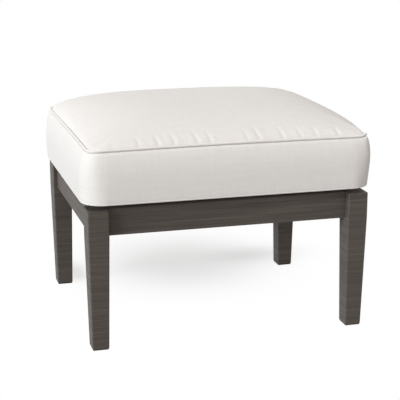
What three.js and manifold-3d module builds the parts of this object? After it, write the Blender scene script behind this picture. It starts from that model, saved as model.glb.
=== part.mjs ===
// Outdoor ottoman footstool: a powder-coated aluminium frame on four tapered legs,
// a deck of interwoven webbing, and a loose boxed cushion with piped seams and a zip at the back.
// Millimetres. X is the width, Y the depth with the front at -Y, Z is up, and the floor is Z = 0.

import * as THREE from "three";
import { mergeVertices } from "three/addons/utils/BufferGeometryUtils.js";
import Module from "manifold-3d";

const wasm = await Module();
wasm.setup();

// Frame
const frameWidth = 610;
const frameDepth = 505;
const frameHeight = 303;
const joinGap = 0.3;

// Legs: hollow, straight behind the rails and tapered below them
const legWidth = 44;
const legDepth = 52;
const legWall = 2.5;
const legCap = 3;
const legEdge = 2;
const legOuterTaperX = 5;
const legOuterTaperY = 7;
const legInnerTaperX = 3.5;
const legInnerTaperY = 7;

// Rails: hollow rectangular tubes set back from the faces of the legs
const railHeight = 58;
const railThickness = 25;
const railWall = 2;
const railEdge = 1.5;
const frontRailSetback = 18;
const sideRailSetback = 9;

// Glides: a flange under the leg with a plug pressed into it
const glideFlange = 2;
const glideInset = 1;
const glideChamfer = 0.8;
const glidePlug = 14;
const glideLeadIn = 1.5;

// Ledgers: angles along the inner faces of the rails that carry the webbing
const ledgerDrop = 9;
const ledgerFlange = 24;
const ledgerHeight = 20;
const ledgerThickness = 2.5;

// Webbing deck
const strapWidth = 45;
const strapThickness = 2;
const depthStrapCount = 5;
const widthStrapCount = 4;
const outerStrapFromSideRail = 81;
const outerStrapFromFrontRail = 77.5;
const strapEndClearance = 2;
const weaveMargin = 2;
const deckDrop = 1;

// Clamp bars and their screws
const barWidth = 14;
const barThickness = 2.5;
const barInset = 11;
const barOverhang = 13.5;
const screwPastStrap = 7.5;
const screwHeadRadius = 4.2;
const screwHeadHeight = 2.2;
const screwShankRadius = 2;
const screwTip = 3;
const screwHoleClearance = 0.3;

// Cushion: how its two seams stand past the frame and over each other, and heights
const cushionOverhang = 7;
const topSeamDrawInX = 11;
const topSeamDrawInY = 10.5;
const bottomSeamCorner = 46;
const topSeamCorner = 13;
const bottomSeamLift = 14.5;
const boxingHeight = 108;
const seamRise = 2.5;
const boxingBulge = 10;
const crownRise = 51.5;
const underRoll = 24;

// Cushion shape numbers without a unit
const crownPower = 4.3;
const crownFullness = 0.46;

// Cover, filling and piping
const coverThickness = 1;
const layerGap = 0.3;
const pipingRadius = 2.3;
const padSkirt = 6;
const fillingEase = 1;

// Zip in the back of the boxing
const zipEndFromSide = 107;
const zipBlend = 46;
const zipLift = 1.5;
const zipPuff = 5;
const placketFromCoil = 4.2;
const tapeWidth = 24;
const tapeThickness = 0.8;
const coilWidth = 5.6;
const coilHeight = 2.2;

// Zip slider and pull
const sliderLength = 14;
const sliderWall = 1.2;
const sliderEndMargin = 14;
const bridgeLength = 12;
const bridgeWidth = 3;
const bridgeOpening = 3.2;
const bridgeThickness = 1.2;
const bridgeFoot = 1.6;
const pullThickness = 1.6;
const pullArm = 1.7;
const pullLength = 24;
const pullEyeLength = 6;
const pullClearance = 0.4;
const pullTipWidth = 5;

// Counts
const cornerSteps = 5;
const edgeSteps = 2;
const holeSides = 12;
const screwSides = 10;
const pipingSides = 6;

// Levels and places worked out from the sizes above
const railBottom = frameHeight - railHeight;
const legBottom = glideFlange + joinGap;
const innerHalfWidth = frameWidth / 2 - sideRailSetback - railThickness;
const innerHalfDepth = frameDepth / 2 - frontRailSetback - railThickness;
const depthStrapPitch = (2 * (innerHalfWidth - outerStrapFromSideRail)) / (depthStrapCount - 1);
const widthStrapPitch = (2 * (innerHalfDepth - outerStrapFromFrontRail)) / (widthStrapCount - 1);
const ledgerTop = frameHeight - ledgerDrop;
const strapEndLevel = ledgerTop + joinGap + strapThickness / 2;
const weaveRise = (strapThickness + joinGap) / 2;
const weaveLevel = frameHeight - deckDrop - strapThickness / 2 - weaveRise;
const barBottom = ledgerTop + joinGap + strapThickness + joinGap;
const barTop = barBottom + barThickness;
const bottomSeamHalfX = frameWidth / 2 + cushionOverhang;
const bottomSeamHalfY = frameDepth / 2 + cushionOverhang;
const topSeamHalfX = bottomSeamHalfX - topSeamDrawInX;
const topSeamHalfY = bottomSeamHalfY - topSeamDrawInY;
const bottomSeamZ = frameHeight + bottomSeamLift;
const topSeamZ = bottomSeamZ + boxingHeight;
const cushionRest = frameHeight + layerGap;
const skinGap = coverThickness + layerGap;
const zipMiddleShare = 0.5;
const tapeShare = tapeWidth / 2 / boxingHeight;
const zipHalfLength = bottomSeamHalfX - zipEndFromSide;
const zipOpening = coilWidth + 2 * placketFromCoil;
const zipZ = bottomSeamZ + boxingHeight * zipMiddleShare;
const zipFaceY = (bottomSeamHalfY + topSeamHalfY) / 2 + zipLift;
const tapeFaceY = zipFaceY - coverThickness - layerGap;
const coilFaceY = tapeFaceY + coilHeight;
const sliderTopY = coilFaceY + joinGap + sliderWall;
const sliderX = zipHalfLength - sliderEndMargin - sliderLength / 2;
const pullAxisY = sliderTopY + bridgeOpening / 2;

// Shares of the rounded parts of the outlines
const crownRingShares = [0.3, 0.55, 0.75, 0.88, 0.96, 0.988, 1];
const boxingRowShares = [0, 0.12, 0.3, 0.5, 0.7, 0.88, 1];
const foamRowShares = [0.12, 0.26];
const placketRowShares = [0, 0.25, 0.5, 0.75, 1];
const sideStationShares = [0.6, 0.2, -0.2, -0.6];
const zipStationShare = 1 / 3;
const underRollShares = [1, 0.6, 0.25, 0];
const easeShares = [0.25, 0.5, 0.75];

const looks = {
  frame: { color: 0x57524c, roughness: 0.6, metalness: 0.15 },
  glide: { color: 0x1d1c1b, roughness: 0.7, metalness: 0 },
  ledger: { color: 0x4b4742, roughness: 0.6, metalness: 0.15 },
  webbing: { color: 0x6f675d, roughness: 0.9, metalness: 0 },
  steel: { color: 0xb9b9b6, roughness: 0.35, metalness: 1 },
  foam: { color: 0xe9dfc2, roughness: 0.95, metalness: 0 },
  fibre: { color: 0xf6f5f2, roughness: 1, metalness: 0 },
  fabric: { color: 0xe6e2dc, roughness: 0.9, metalness: 0 },
  zipTape: { color: 0xdedad3, roughness: 0.85, metalness: 0 },
  zipMetal: { color: 0xd7d4cd, roughness: 0.4, metalness: 0.8 },
};

const mix = (a, b, share) => a + (b - a) * share;
const ease = (share) => (1 - Math.cos(Math.PI * share)) / 2;
const clamp01 = (value) => Math.min(1, Math.max(0, value));

function piece(name, geometry, look) {
  const mesh = new THREE.Mesh(geometry, new THREE.MeshStandardMaterial(looks[look]));
  mesh.name = name;
  return mesh;
}

// Solids from rings

function signedVolume(points, triangles) {
  let sum = 0;
  for (const [a, b, c] of triangles) {
    sum += points[a].dot(new THREE.Vector3().crossVectors(points[b], points[c])) / 6;
  }
  return sum;
}

function solidFrom(points, triangles) {
  const outward = signedVolume(points, triangles) > 0;
  const faces = outward ? triangles : triangles.map(([a, b, c]) => [a, c, b]);
  const geometry = new THREE.BufferGeometry();
  const flat = points.flatMap((p) => [p.x, p.y, p.z]);
  geometry.setAttribute("position", new THREE.Float32BufferAttribute(flat, 3));
  geometry.setIndex(faces.flat());
  geometry.computeVertexNormals();
  return geometry;
}

// Two triangles that share the shorter diagonal, so that layers over each other split alike.
function splitQuad(points, a, b, c, d) {
  const alongFirst = points[a].distanceTo(points[c]) <= points[b].distanceTo(points[d]);
  const first = [
    [a, b, c],
    [a, c, d],
  ];
  const second = [
    [a, b, d],
    [b, c, d],
  ];
  return alongFirst ? first : second;
}

// Joins rings of as many points each. A first or last ring of one point is a pole, a wider one
// gets a flat lid, and a looped stack joins its last ring to its first.
function stackRings(rings, { looped = false, pairedLids = false } = {}) {
  const points = [];
  const starts = [];
  for (const ring of rings) {
    starts.push(points.length);
    points.push(...ring);
  }
  const triangles = [];
  const bands = looped ? rings.length : rings.length - 1;
  for (let r = 0; r < bands; r += 1) {
    const next = (r + 1) % rings.length;
    const count = Math.max(rings[r].length, rings[next].length);
    for (let i = 0; i < count; i += 1) {
      const j = (i + 1) % count;
      const [a, b] = [starts[r], starts[next]];
      if (rings[r].length === 1) {
        triangles.push([a, b + j, b + i]);
      } else if (rings[next].length === 1) {
        triangles.push([a + i, a + j, b]);
      } else {
        triangles.push(...splitQuad(points, a + i, a + j, b + j, b + i));
      }
    }
  }
  if (!looped) {
    const lid = pairedLids ? pairedLid : fanLid;
    lid(points, triangles, starts[0], rings[0].length, false);
    lid(points, triangles, starts[rings.length - 1], rings[rings.length - 1].length, true);
  }
  return solidFrom(points, triangles);
}

function fanLid(points, triangles, start, count, last) {
  if (count < 3) {
    return;
  }
  const middle = new THREE.Vector3();
  for (let i = 0; i < count; i += 1) {
    middle.addScaledVector(points[start + i], 1 / count);
  }
  const centre = points.push(middle) - 1;
  for (let i = 0; i < count; i += 1) {
    const [a, b] = [start + i, start + ((i + 1) % count)];
    triangles.push(last ? [a, b, centre] : [b, a, centre]);
  }
}

// The lid of a thin curved section: its first half runs along one face, its second half back.
function pairedLid(points, triangles, start, count, last) {
  for (let i = 0; i < count / 2 - 1; i += 1) {
    const [a, b] = [start + i, start + i + 1];
    const [c, d] = [start + count - 2 - i, start + count - 1 - i];
    const quad = [
      [a, b, c],
      [a, c, d],
    ];
    for (const [p, q, r] of quad) {
      triangles.push(last ? [p, q, r] : [p, r, q]);
    }
  }
}

// Booleans

function toManifold(geometry) {
  const bare = geometry.clone();
  bare.deleteAttribute("normal");
  bare.deleteAttribute("uv");
  const merged = mergeVertices(bare);
  return new wasm.Manifold(
    new wasm.Mesh({
      numProp: 3,
      vertProperties: merged.attributes.position.array,
      triVerts: new Uint32Array(merged.index.array),
    }),
  );
}

function fromManifold(solid) {
  const mesh = solid.getMesh();
  const geometry = new THREE.BufferGeometry();
  geometry.setAttribute("position", new THREE.BufferAttribute(mesh.vertProperties, mesh.numProp));
  geometry.setIndex(new THREE.BufferAttribute(mesh.triVerts, 1));
  geometry.computeVertexNormals();
  return geometry;
}

function cut(body, tools) {
  let solid = toManifold(body);
  for (const tool of tools) {
    solid = solid.subtract(toManifold(tool));
  }
  return fromManifold(solid);
}

function join(first, second) {
  return fromManifold(toManifold(first).add(toManifold(second)));
}

// Outlines and extrusions

function roundedCorners(x0, x1, y0, y1, radius, steps) {
  const centres = [
    [x1 - radius, y1 - radius],
    [x0 + radius, y1 - radius],
    [x0 + radius, y0 + radius],
    [x1 - radius, y0 + radius],
  ];
  return centres.flatMap(([cx, cy], quarter) =>
    Array.from({ length: steps + 1 }, (_, i) => {
      const angle = (quarter + i / steps) * (Math.PI / 2);
      return new THREE.Vector2(cx + radius * Math.cos(angle), cy + radius * Math.sin(angle));
    }),
  );
}

const atHeight = (outline, z) => outline.map((p) => new THREE.Vector3(p.x, p.y, z));

const xFromShape = new THREE.Matrix4().makeBasis(
  new THREE.Vector3(0, 1, 0),
  new THREE.Vector3(0, 0, 1),
  new THREE.Vector3(1, 0, 0),
);

const yFromShape = new THREE.Matrix4().makeBasis(
  new THREE.Vector3(1, 0, 0),
  new THREE.Vector3(0, 0, 1),
  new THREE.Vector3(0, -1, 0),
);

function extruded(shape, depth) {
  const geometry = new THREE.ExtrudeGeometry(shape, { depth, bevelEnabled: false });
  return geometry.translate(0, 0, -depth / 2);
}

// A shape drawn in Y and Z, extruded along X about the middle.
const alongX = (shape, length) => extruded(shape, length).applyMatrix4(xFromShape);

// A shape drawn in X and Z, extruded along Y about the middle.
const alongY = (shape, length) => extruded(shape, length).applyMatrix4(yFromShape);

function upright(radius, height, sides) {
  return new THREE.CylinderGeometry(radius, radius, height, sides).rotateX(Math.PI / 2);
}

// Legs and glides

function legOutline(sideX, sideY, taperShare, inset) {
  const outerX = frameWidth / 2 - legOuterTaperX * taperShare - inset;
  const innerX = frameWidth / 2 - legWidth + legInnerTaperX * taperShare + inset;
  const outerY = frameDepth / 2 - legOuterTaperY * taperShare - inset;
  const innerY = frameDepth / 2 - legDepth + legInnerTaperY * taperShare + inset;
  const xs = [sideX * innerX, sideX * outerX].sort((a, b) => a - b);
  const ys = [sideY * innerY, sideY * outerY].sort((a, b) => a - b);
  return roundedCorners(...xs, ...ys, legEdge, edgeSteps);
}

const taperAt = (z) => clamp01((railBottom - z) / (railBottom - legBottom));

function legRing(sideX, sideY, z, inset) {
  return atHeight(legOutline(sideX, sideY, taperAt(z), inset), z);
}

function leg(name, sideX, sideY) {
  const rings = [
    legRing(sideX, sideY, frameHeight - legCap, legWall),
    legRing(sideX, sideY, railBottom, legWall),
    legRing(sideX, sideY, legBottom, legWall),
    legRing(sideX, sideY, legBottom, 0),
    legRing(sideX, sideY, railBottom, 0),
    legRing(sideX, sideY, frameHeight - legEdge / 2, 0),
    legRing(sideX, sideY, frameHeight, legEdge / 2),
  ];
  return piece(`leg_${name}`, stackRings(rings), "frame");
}

function glide(name, sideX, sideY) {
  const plugInset = legWall + joinGap;
  const plugTop = legBottom + glidePlug;
  const footRing = (z, inset) => atHeight(legOutline(sideX, sideY, 1, inset), z);
  const rings = [
    footRing(0, glideInset + glideChamfer),
    footRing(glideChamfer, glideInset),
    footRing(glideFlange, glideInset),
    footRing(glideFlange, plugInset),
    legRing(sideX, sideY, plugTop - glideLeadIn, plugInset),
    legRing(sideX, sideY, plugTop, plugInset + glideLeadIn),
  ];
  return piece(`glide_${name}`, stackRings(rings), "glide");
}

function legsAndGlides() {
  const group = new THREE.Group();
  for (const [depthName, sideY] of [["front", -1], ["back", 1]]) {
    for (const [widthName, sideX] of [["left", -1], ["right", 1]]) {
      const name = `${depthName}_${widthName}`;
      group.add(leg(name, sideX, sideY), glide(name, sideX, sideY));
    }
  }
  return group;
}

// One side of the frame, drawn as the front side: rail, ledger, clamp bar and screws.
// Y is measured from the middle of the frame, and the rail's inner face looks towards +Y.

function railShape(innerY) {
  const [y0, y1] = [innerY - railThickness, innerY];
  const shape = new THREE.Shape(roundedCorners(y0, y1, railBottom, frameHeight, railEdge, edgeSteps));
  const bore = roundedCorners(
    y0 + railWall,
    y1 - railWall,
    railBottom + railWall,
    frameHeight - railWall,
    railEdge,
    edgeSteps,
  );
  shape.holes.push(new THREE.Path(bore));
  return shape;
}

function ledgerShape(innerY) {
  const wallY = innerY + joinGap;
  const shape = new THREE.Shape();
  shape.moveTo(wallY, ledgerTop - ledgerHeight);
  shape.lineTo(wallY + ledgerThickness, ledgerTop - ledgerHeight);
  shape.lineTo(wallY + ledgerThickness, ledgerTop - ledgerThickness);
  shape.lineTo(wallY + ledgerFlange, ledgerTop - ledgerThickness);
  shape.lineTo(wallY + ledgerFlange, ledgerTop);
  shape.lineTo(wallY, ledgerTop);
  shape.closePath();
  return shape;
}

function clampBar(halfLength, barY, screwPlaces) {
  const shape = new THREE.Shape();
  shape.moveTo(-halfLength, barY - barWidth / 2);
  shape.lineTo(halfLength, barY - barWidth / 2);
  shape.lineTo(halfLength, barY + barWidth / 2);
  shape.lineTo(-halfLength, barY + barWidth / 2);
  shape.closePath();
  const holeRadius = screwShankRadius + screwHoleClearance;
  for (const x of screwPlaces) {
    const hole = Array.from({ length: holeSides }, (_, i) => {
      const angle = (i / holeSides) * Math.PI * 2;
      return new THREE.Vector2(x + holeRadius * Math.cos(angle), barY + holeRadius * Math.sin(angle));
    });
    shape.holes.push(new THREE.Path(hole));
  }
  return extruded(shape, barThickness).translate(0, 0, barBottom + barThickness / 2);
}

function screwGeometry() {
  const headBottom = barTop + joinGap;
  const headTop = headBottom + screwHeadHeight;
  const tipZ = ledgerTop - ledgerThickness - screwTip;
  const profile = [
    new THREE.Vector2(0, tipZ),
    new THREE.Vector2(screwShankRadius / 2, tipZ),
    new THREE.Vector2(screwShankRadius, tipZ + screwTip / 2),
    new THREE.Vector2(screwShankRadius, headBottom),
    new THREE.Vector2(screwHeadRadius, headBottom),
    new THREE.Vector2(screwHeadRadius, headBottom + screwHeadHeight / 2),
    new THREE.Vector2(screwHeadRadius - screwHeadHeight / 2, headTop),
    new THREE.Vector2(0, headTop),
  ];
  return new THREE.LatheGeometry(profile, screwSides).rotateX(Math.PI / 2);
}

function frameSide({ name, turn, innerReach, legReach, strapReach, innerScrews }) {
  const side = new THREE.Group();
  side.rotation.z = turn;
  const innerY = -innerReach;
  const railLength = 2 * (legReach - joinGap);
  const screwReach = strapReach + screwPastStrap;
  const barHalf = strapReach + barOverhang;
  const barY = innerY + barInset;
  const places = [-screwReach, ...innerScrews, screwReach];
  const holeRadius = screwShankRadius + screwHoleClearance;
  const drills = places.map((x) =>
    upright(holeRadius, ledgerHeight, holeSides).translate(x, barY, ledgerTop),
  );

  side.add(piece(`rail_${name}`, alongX(railShape(innerY), railLength), "frame"));
  side.add(piece(`ledger_${name}`, cut(alongX(ledgerShape(innerY), 2 * barHalf), drills), "ledger"));
  side.add(piece(`clamp_bar_${name}`, clampBar(barHalf, barY, places), "ledger"));
  places.forEach((x, index) => {
    const screw = piece(`clamp_screw_${name}_${index + 1}`, screwGeometry(), "steel");
    screw.position.set(x, barY, 0);
    side.add(screw);
  });
  return side;
}

// The first gap between straps on each side of the middle, or the middle where a gap is there.
function middleScrews(count, pitch) {
  return count % 2 ? [-pitch / 2, pitch / 2] : [0];
}

function frameSides() {
  const along = {
    innerReach: innerHalfDepth,
    legReach: frameWidth / 2 - legWidth,
    strapReach: ((depthStrapCount - 1) / 2) * depthStrapPitch + strapWidth / 2,
    innerScrews: middleScrews(depthStrapCount, depthStrapPitch),
  };
  const across = {
    innerReach: innerHalfWidth,
    legReach: frameDepth / 2 - legDepth,
    strapReach: ((widthStrapCount - 1) / 2) * widthStrapPitch + strapWidth / 2,
    innerScrews: middleScrews(widthStrapCount, widthStrapPitch),
  };
  const group = new THREE.Group();
  group.add(frameSide({ name: "front", turn: 0, ...along }));
  group.add(frameSide({ name: "right", turn: Math.PI / 2, ...across }));
  group.add(frameSide({ name: "back", turn: Math.PI, ...along }));
  group.add(frameSide({ name: "left", turn: -Math.PI / 2, ...across }));
  return group;
}

// Webbing deck: each strap rests on the ledgers and passes over and under those that cross it.

function strapPlaces(count, pitch) {
  return Array.from({ length: count }, (_, i) => (i - (count - 1) / 2) * pitch);
}

function strapLine(crossings, innerReach, firstOver) {
  const plateau = strapWidth / 2 + weaveMargin;
  const ledgeReach = innerReach - joinGap - ledgerFlange;
  const endReach = innerReach - strapEndClearance;
  const corners = [
    [-endReach, strapEndLevel],
    [-ledgeReach, strapEndLevel],
  ];
  crossings.forEach((place, index) => {
    const over = (index % 2 === 0) === firstOver;
    const level = weaveLevel + (over ? weaveRise : -weaveRise);
    corners.push([place - plateau, level], [place + plateau, level]);
  });
  corners.push([ledgeReach, strapEndLevel], [endReach, strapEndLevel]);
  return corners.flatMap(([s, z], index) => {
    const next = corners[index + 1];
    const rises = next && next[1] !== z;
    const between = rises ? easeShares.map((e) => [mix(s, next[0], e), mix(z, next[1], ease(e))]) : [];
    return [[s, z], ...between];
  });
}

function strapShape(line) {
  const half = strapThickness / 2;
  const upper = line.map(([s, z]) => new THREE.Vector2(s, z + half));
  const lower = line.map(([s, z]) => new THREE.Vector2(s, z - half)).reverse();
  return new THREE.Shape([...lower, ...upper]);
}

function deck() {
  const group = new THREE.Group();
  const depthPlaces = strapPlaces(depthStrapCount, depthStrapPitch);
  const widthPlaces = strapPlaces(widthStrapCount, widthStrapPitch);
  depthPlaces.forEach((x, index) => {
    const line = strapLine(widthPlaces, innerHalfDepth, index % 2 === 0);
    const strap = piece(`strap_depth_${index + 1}`, alongX(strapShape(line), strapWidth), "webbing");
    strap.position.x = x;
    group.add(strap);
  });
  widthPlaces.forEach((y, index) => {
    const line = strapLine(depthPlaces, innerHalfWidth, index % 2 === 1);
    const strap = piece(`strap_width_${index + 1}`, alongY(strapShape(line), strapWidth), "webbing");
    strap.position.y = y;
    group.add(strap);
  });
  return group;
}

// Cushion outline: stations round a rectangle with rounded corners, each with its outward normal.

function cushionStations(halfX, halfY, corner) {
  const stations = [];
  const flatX = [zipHalfLength + zipBlend / 2, zipHalfLength, zipHalfLength * zipStationShare];
  const straight = {
    long: [...flatX, ...flatX.map((x) => -x).reverse()],
    short: sideStationShares.map((share) => share * halfY),
  };
  const quarters = [
    { sx: 1, sy: 1, normal: [0, 1], run: straight.long.map((x) => [x, halfY]) },
    { sx: -1, sy: 1, normal: [-1, 0], run: straight.short.map((y) => [-halfX, y]) },
    { sx: -1, sy: -1, normal: [0, -1], run: straight.long.map((x) => [-x, -halfY]) },
    { sx: 1, sy: -1, normal: [1, 0], run: straight.short.map((y) => [halfX, -y]) },
  ];
  quarters.forEach(({ sx, sy, normal, run }, quarter) => {
    const cx = sx * (halfX - corner);
    const cy = sy * (halfY - corner);
    for (let i = 0; i <= cornerSteps; i += 1) {
      const angle = (quarter + i / cornerSteps) * (Math.PI / 2);
      const [nx, ny] = [Math.cos(angle), Math.sin(angle)];
      stations.push({ x: cx + corner * nx, y: cy + corner * ny, nx, ny });
    }
    for (const [x, y] of run) {
      stations.push({ x, y, nx: normal[0], ny: normal[1] });
    }
  });
  return stations;
}

// How far a station lies along the sides of the square that the outline is stretched from.
function squarePlace(station, halfX, halfY) {
  const [u, v] = [station.x / halfX, station.y / halfY];
  const reach = Math.max(Math.abs(u), Math.abs(v));
  return { u: u / reach, v: v / reach };
}

function topSeamAt({ u, v }) {
  return topSeamZ + seamRise * (2 - u * u - v * v);
}

// The share of the zip's flatter profile at a station: all of it along the zip, none past its blend.
function zipShare({ x, ny }) {
  if (ny < 1) {
    return 0;
  }
  return 1 - ease(clamp01((Math.abs(x) - zipHalfLength) / zipBlend));
}

// Along the zip the cloth is flat over the tape, and puffs out between the tape and each seam.
function zippedOffset(height) {
  const seamY = height < zipMiddleShare ? bottomSeamHalfY : topSeamHalfY;
  const fromTape = (Math.abs(height - zipMiddleShare) - tapeShare) / (zipMiddleShare - tapeShare);
  const past = clamp01(fromTape);
  const y = mix(zipFaceY, seamY, past) + zipPuff * Math.sin(Math.PI * past);
  return y - mix(bottomSeamHalfY, topSeamHalfY, height);
}

function boxingOffset(station, height) {
  const plain = boxingBulge * Math.sin(Math.PI * height);
  return mix(plain, zippedOffset(height), zipShare(station));
}

function boxingPoint(stationTop, stationBottom, height, inset) {
  const place = squarePlace(stationTop, topSeamHalfX, topSeamHalfY);
  const offset = boxingOffset(stationBottom, height) - inset;
  return new THREE.Vector3(
    mix(stationBottom.x, stationTop.x, height) + stationBottom.nx * offset,
    mix(stationBottom.y, stationTop.y, height) + stationBottom.ny * offset,
    mix(bottomSeamZ, topSeamAt(place), height),
  );
}

const topStations = cushionStations(topSeamHalfX, topSeamHalfY, topSeamCorner);
const bottomStations = cushionStations(bottomSeamHalfX, bottomSeamHalfY, bottomSeamCorner);

function boxingRing(height, inset) {
  return topStations.map((top, index) => boxingPoint(top, bottomStations[index], height, inset));
}

// A ring of the crown: the seam's outline drawn in by an inset, scaled by a share, and raised.
function crownRing(share, inset, drop) {
  return topStations.map((station) => {
    const { u, v } = squarePlace(station, topSeamHalfX, topSeamHalfY);
    const fall = (1 - Math.abs(share * u) ** crownPower) * (1 - Math.abs(share * v) ** crownPower);
    const x = (station.x - station.nx * inset) * share;
    const y = (station.y - station.ny * inset) * share;
    const seam = mix(topSeamZ, topSeamAt({ u, v }), share);
    return new THREE.Vector3(x, y, seam + crownRise * fall ** crownFullness - drop);
  });
}

const crownTop = (drop) => [new THREE.Vector3(0, 0, topSeamZ + crownRise - drop)];

// A ring of the underside, which rolls down from the seam to the plane that it rests on.
function underRing(rollShare, inset, lift) {
  const drawnIn = inset + underRoll * (1 - rollShare);
  const z = mix(cushionRest, bottomSeamZ, rollShare * rollShare) + lift;
  return bottomStations.map(
    ({ x, y, nx, ny }) => new THREE.Vector3(x - nx * drawnIn, y - ny * drawnIn, z),
  );
}

const underMiddle = (lift) => [new THREE.Vector3(0, 0, cushionRest + lift)];

function coverTopPanel() {
  const rim = pipingRadius + layerGap;
  const outer = crownRingShares.map((share) => crownRing(share, rim, 0));
  const inner = crownRingShares.map((share) => crownRing(share, rim + coverThickness, coverThickness));
  const rings = [crownTop(0), ...outer, ...inner.reverse(), crownTop(coverThickness)];
  return piece("cover_top_panel", stackRings(rings), "fabric");
}

function crownPad() {
  const rim = pipingRadius + layerGap + skinGap;
  const padBottom = topSeamZ - padSkirt;
  const rings = crownRingShares.map((share) => crownRing(share, rim, skinGap));
  const skirt = boxingRing(1 - (padSkirt - layerGap) / boxingHeight, rim);
  const flat = skirt.map((p) => new THREE.Vector3(p.x, p.y, padBottom + layerGap));
  const middle = [new THREE.Vector3(0, 0, padBottom + layerGap)];
  return piece("crown_pad", stackRings([crownTop(skinGap), ...rings, flat, middle]), "fibre");
}

// A ring of the foam's side, drawn in further behind the zip's tape.
function foamRing(height, inset) {
  const zipRoom = tapeThickness + layerGap;
  return boxingRing(height, inset).map((point, index) => {
    point.y -= zipRoom * zipShare(bottomStations[index]);
    return point;
  });
}

function foamCore() {
  const edgeInset = pipingRadius + layerGap + coverThickness;
  const sideInset = skinGap + fillingEase;
  const blockTop = topSeamZ - padSkirt;
  const lowRows = foamRowShares.map((share) => foamRing(share, sideInset));
  const highRows = foamRowShares.map((share) => foamRing(1 - share, sideInset)).reverse();
  const zipRows = [-tapeShare, tapeShare].map((share) => foamRing(zipMiddleShare + share, sideInset));
  const topRing = foamRing((blockTop - bottomSeamZ) / boxingHeight, sideInset);
  const lid = topRing.map((p) => new THREE.Vector3(p.x, p.y, blockTop));
  const base = foamRing(sideInset / boxingHeight, edgeInset);
  const under = underRollShares.slice(1).map((share) => underRing(share, edgeInset, skinGap));
  const middle = [new THREE.Vector3(0, 0, blockTop)];
  const sides = [base, ...lowRows, ...zipRows, ...highRows, lid, middle];
  return piece("foam_core", stackRings([underMiddle(skinGap), ...under.reverse(), ...sides]), "foam");
}

function coverBottomPanel() {
  const rim = pipingRadius + layerGap;
  const lower = underRollShares.map((share) => underRing(share, rim, 0));
  const upper = underRollShares.map((share) => underRing(share, rim + coverThickness, coverThickness));
  const rings = [underMiddle(0), ...lower.reverse(), ...upper, underMiddle(coverThickness)];
  return piece("cover_bottom_panel", stackRings(rings), "fabric");
}

// A strip of the boxing between two heights, over a run of stations, as a thin closed solid.
function boxingStrip(indexes, heights) {
  const sections = indexes.map((index) => {
    const at = (height, inset) => boxingPoint(topStations[index], bottomStations[index], height, inset);
    const outer = heights.map((height) => at(height, 0));
    const inner = heights.map((height) => at(height, coverThickness));
    return [...outer, ...inner.reverse()];
  });
  return stackRings(sections, { pairedLids: true });
}

function coverBoxing() {
  const seamShare = (pipingRadius + layerGap) / boxingHeight;
  const heights = boxingRowShares.map((share) => mix(seamShare, 1 - seamShare, share));
  const onZip = (s) => s.ny === 1 && Math.abs(s.x) < zipHalfLength - layerGap;
  const all = bottomStations.map((_, index) => index);
  const firstOnZip = bottomStations.findIndex(onZip);
  const turned = [...all.slice(firstOnZip), ...all.slice(0, firstOnZip)];
  const kept = turned.filter((index) => !onZip(bottomStations[index]));
  return piece("cover_boxing", boxingStrip(kept, heights), "fabric");
}

// The strips of cloth above and below the zip, straight between the ends of the boxing.
function zipPlacket(name, from, to) {
  const half = zipHalfLength - layerGap;
  const section = (x) => {
    const top = { x, y: topSeamHalfY, nx: 0, ny: 1 };
    const bottom = { x, y: bottomSeamHalfY, nx: 0, ny: 1 };
    const heights = placketRowShares.map((share) => mix(from, to, share));
    const outer = heights.map((height) => boxingPoint(top, bottom, height, 0));
    const inner = heights.map((height) => boxingPoint(top, bottom, height, coverThickness));
    return [...outer, ...inner.reverse()];
  };
  const places = [half, half * zipStationShare, -half * zipStationShare, -half];
  return piece(name, stackRings(places.map(section), { pairedLids: true }), "fabric");
}

function piping(name, stations, heightAt) {
  const rings = stations.map((station) => {
    const z = heightAt(station);
    return Array.from({ length: pipingSides }, (_, i) => {
      const angle = (i / pipingSides) * Math.PI * 2;
      const out = pipingRadius * Math.cos(angle);
      const up = pipingRadius * Math.sin(angle);
      return new THREE.Vector3(station.x + station.nx * out, station.y + station.ny * out, z + up);
    });
  });
  return piece(name, stackRings(rings, { looped: true }), "fabric");
}

function pipings() {
  const topHeight = (station) => topSeamAt(squarePlace(station, topSeamHalfX, topSeamHalfY));
  return [
    piping("piping_top", topStations, topHeight),
    piping("piping_bottom", bottomStations, () => bottomSeamZ),
  ];
}

// Zip: a tape with its coil, and a slider that runs on the coil and carries the pull

function zipTape() {
  const shape = new THREE.Shape();
  const backY = tapeFaceY - tapeThickness;
  const coilHalf = coilWidth / 2;
  shape.moveTo(backY, zipZ - tapeWidth / 2);
  shape.lineTo(tapeFaceY, zipZ - tapeWidth / 2);
  shape.lineTo(tapeFaceY, zipZ - coilHalf);
  shape.lineTo(coilFaceY - coilHeight / 2, zipZ - coilHalf);
  shape.lineTo(coilFaceY, zipZ - coilHalf / 2);
  shape.lineTo(coilFaceY, zipZ + coilHalf / 2);
  shape.lineTo(coilFaceY - coilHeight / 2, zipZ + coilHalf);
  shape.lineTo(tapeFaceY, zipZ + coilHalf);
  shape.lineTo(tapeFaceY, zipZ + tapeWidth / 2);
  shape.lineTo(backY, zipZ + tapeWidth / 2);
  shape.closePath();
  return piece("zip_tape", alongX(shape, 2 * (zipHalfLength - layerGap)), "zipTape");
}

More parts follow.
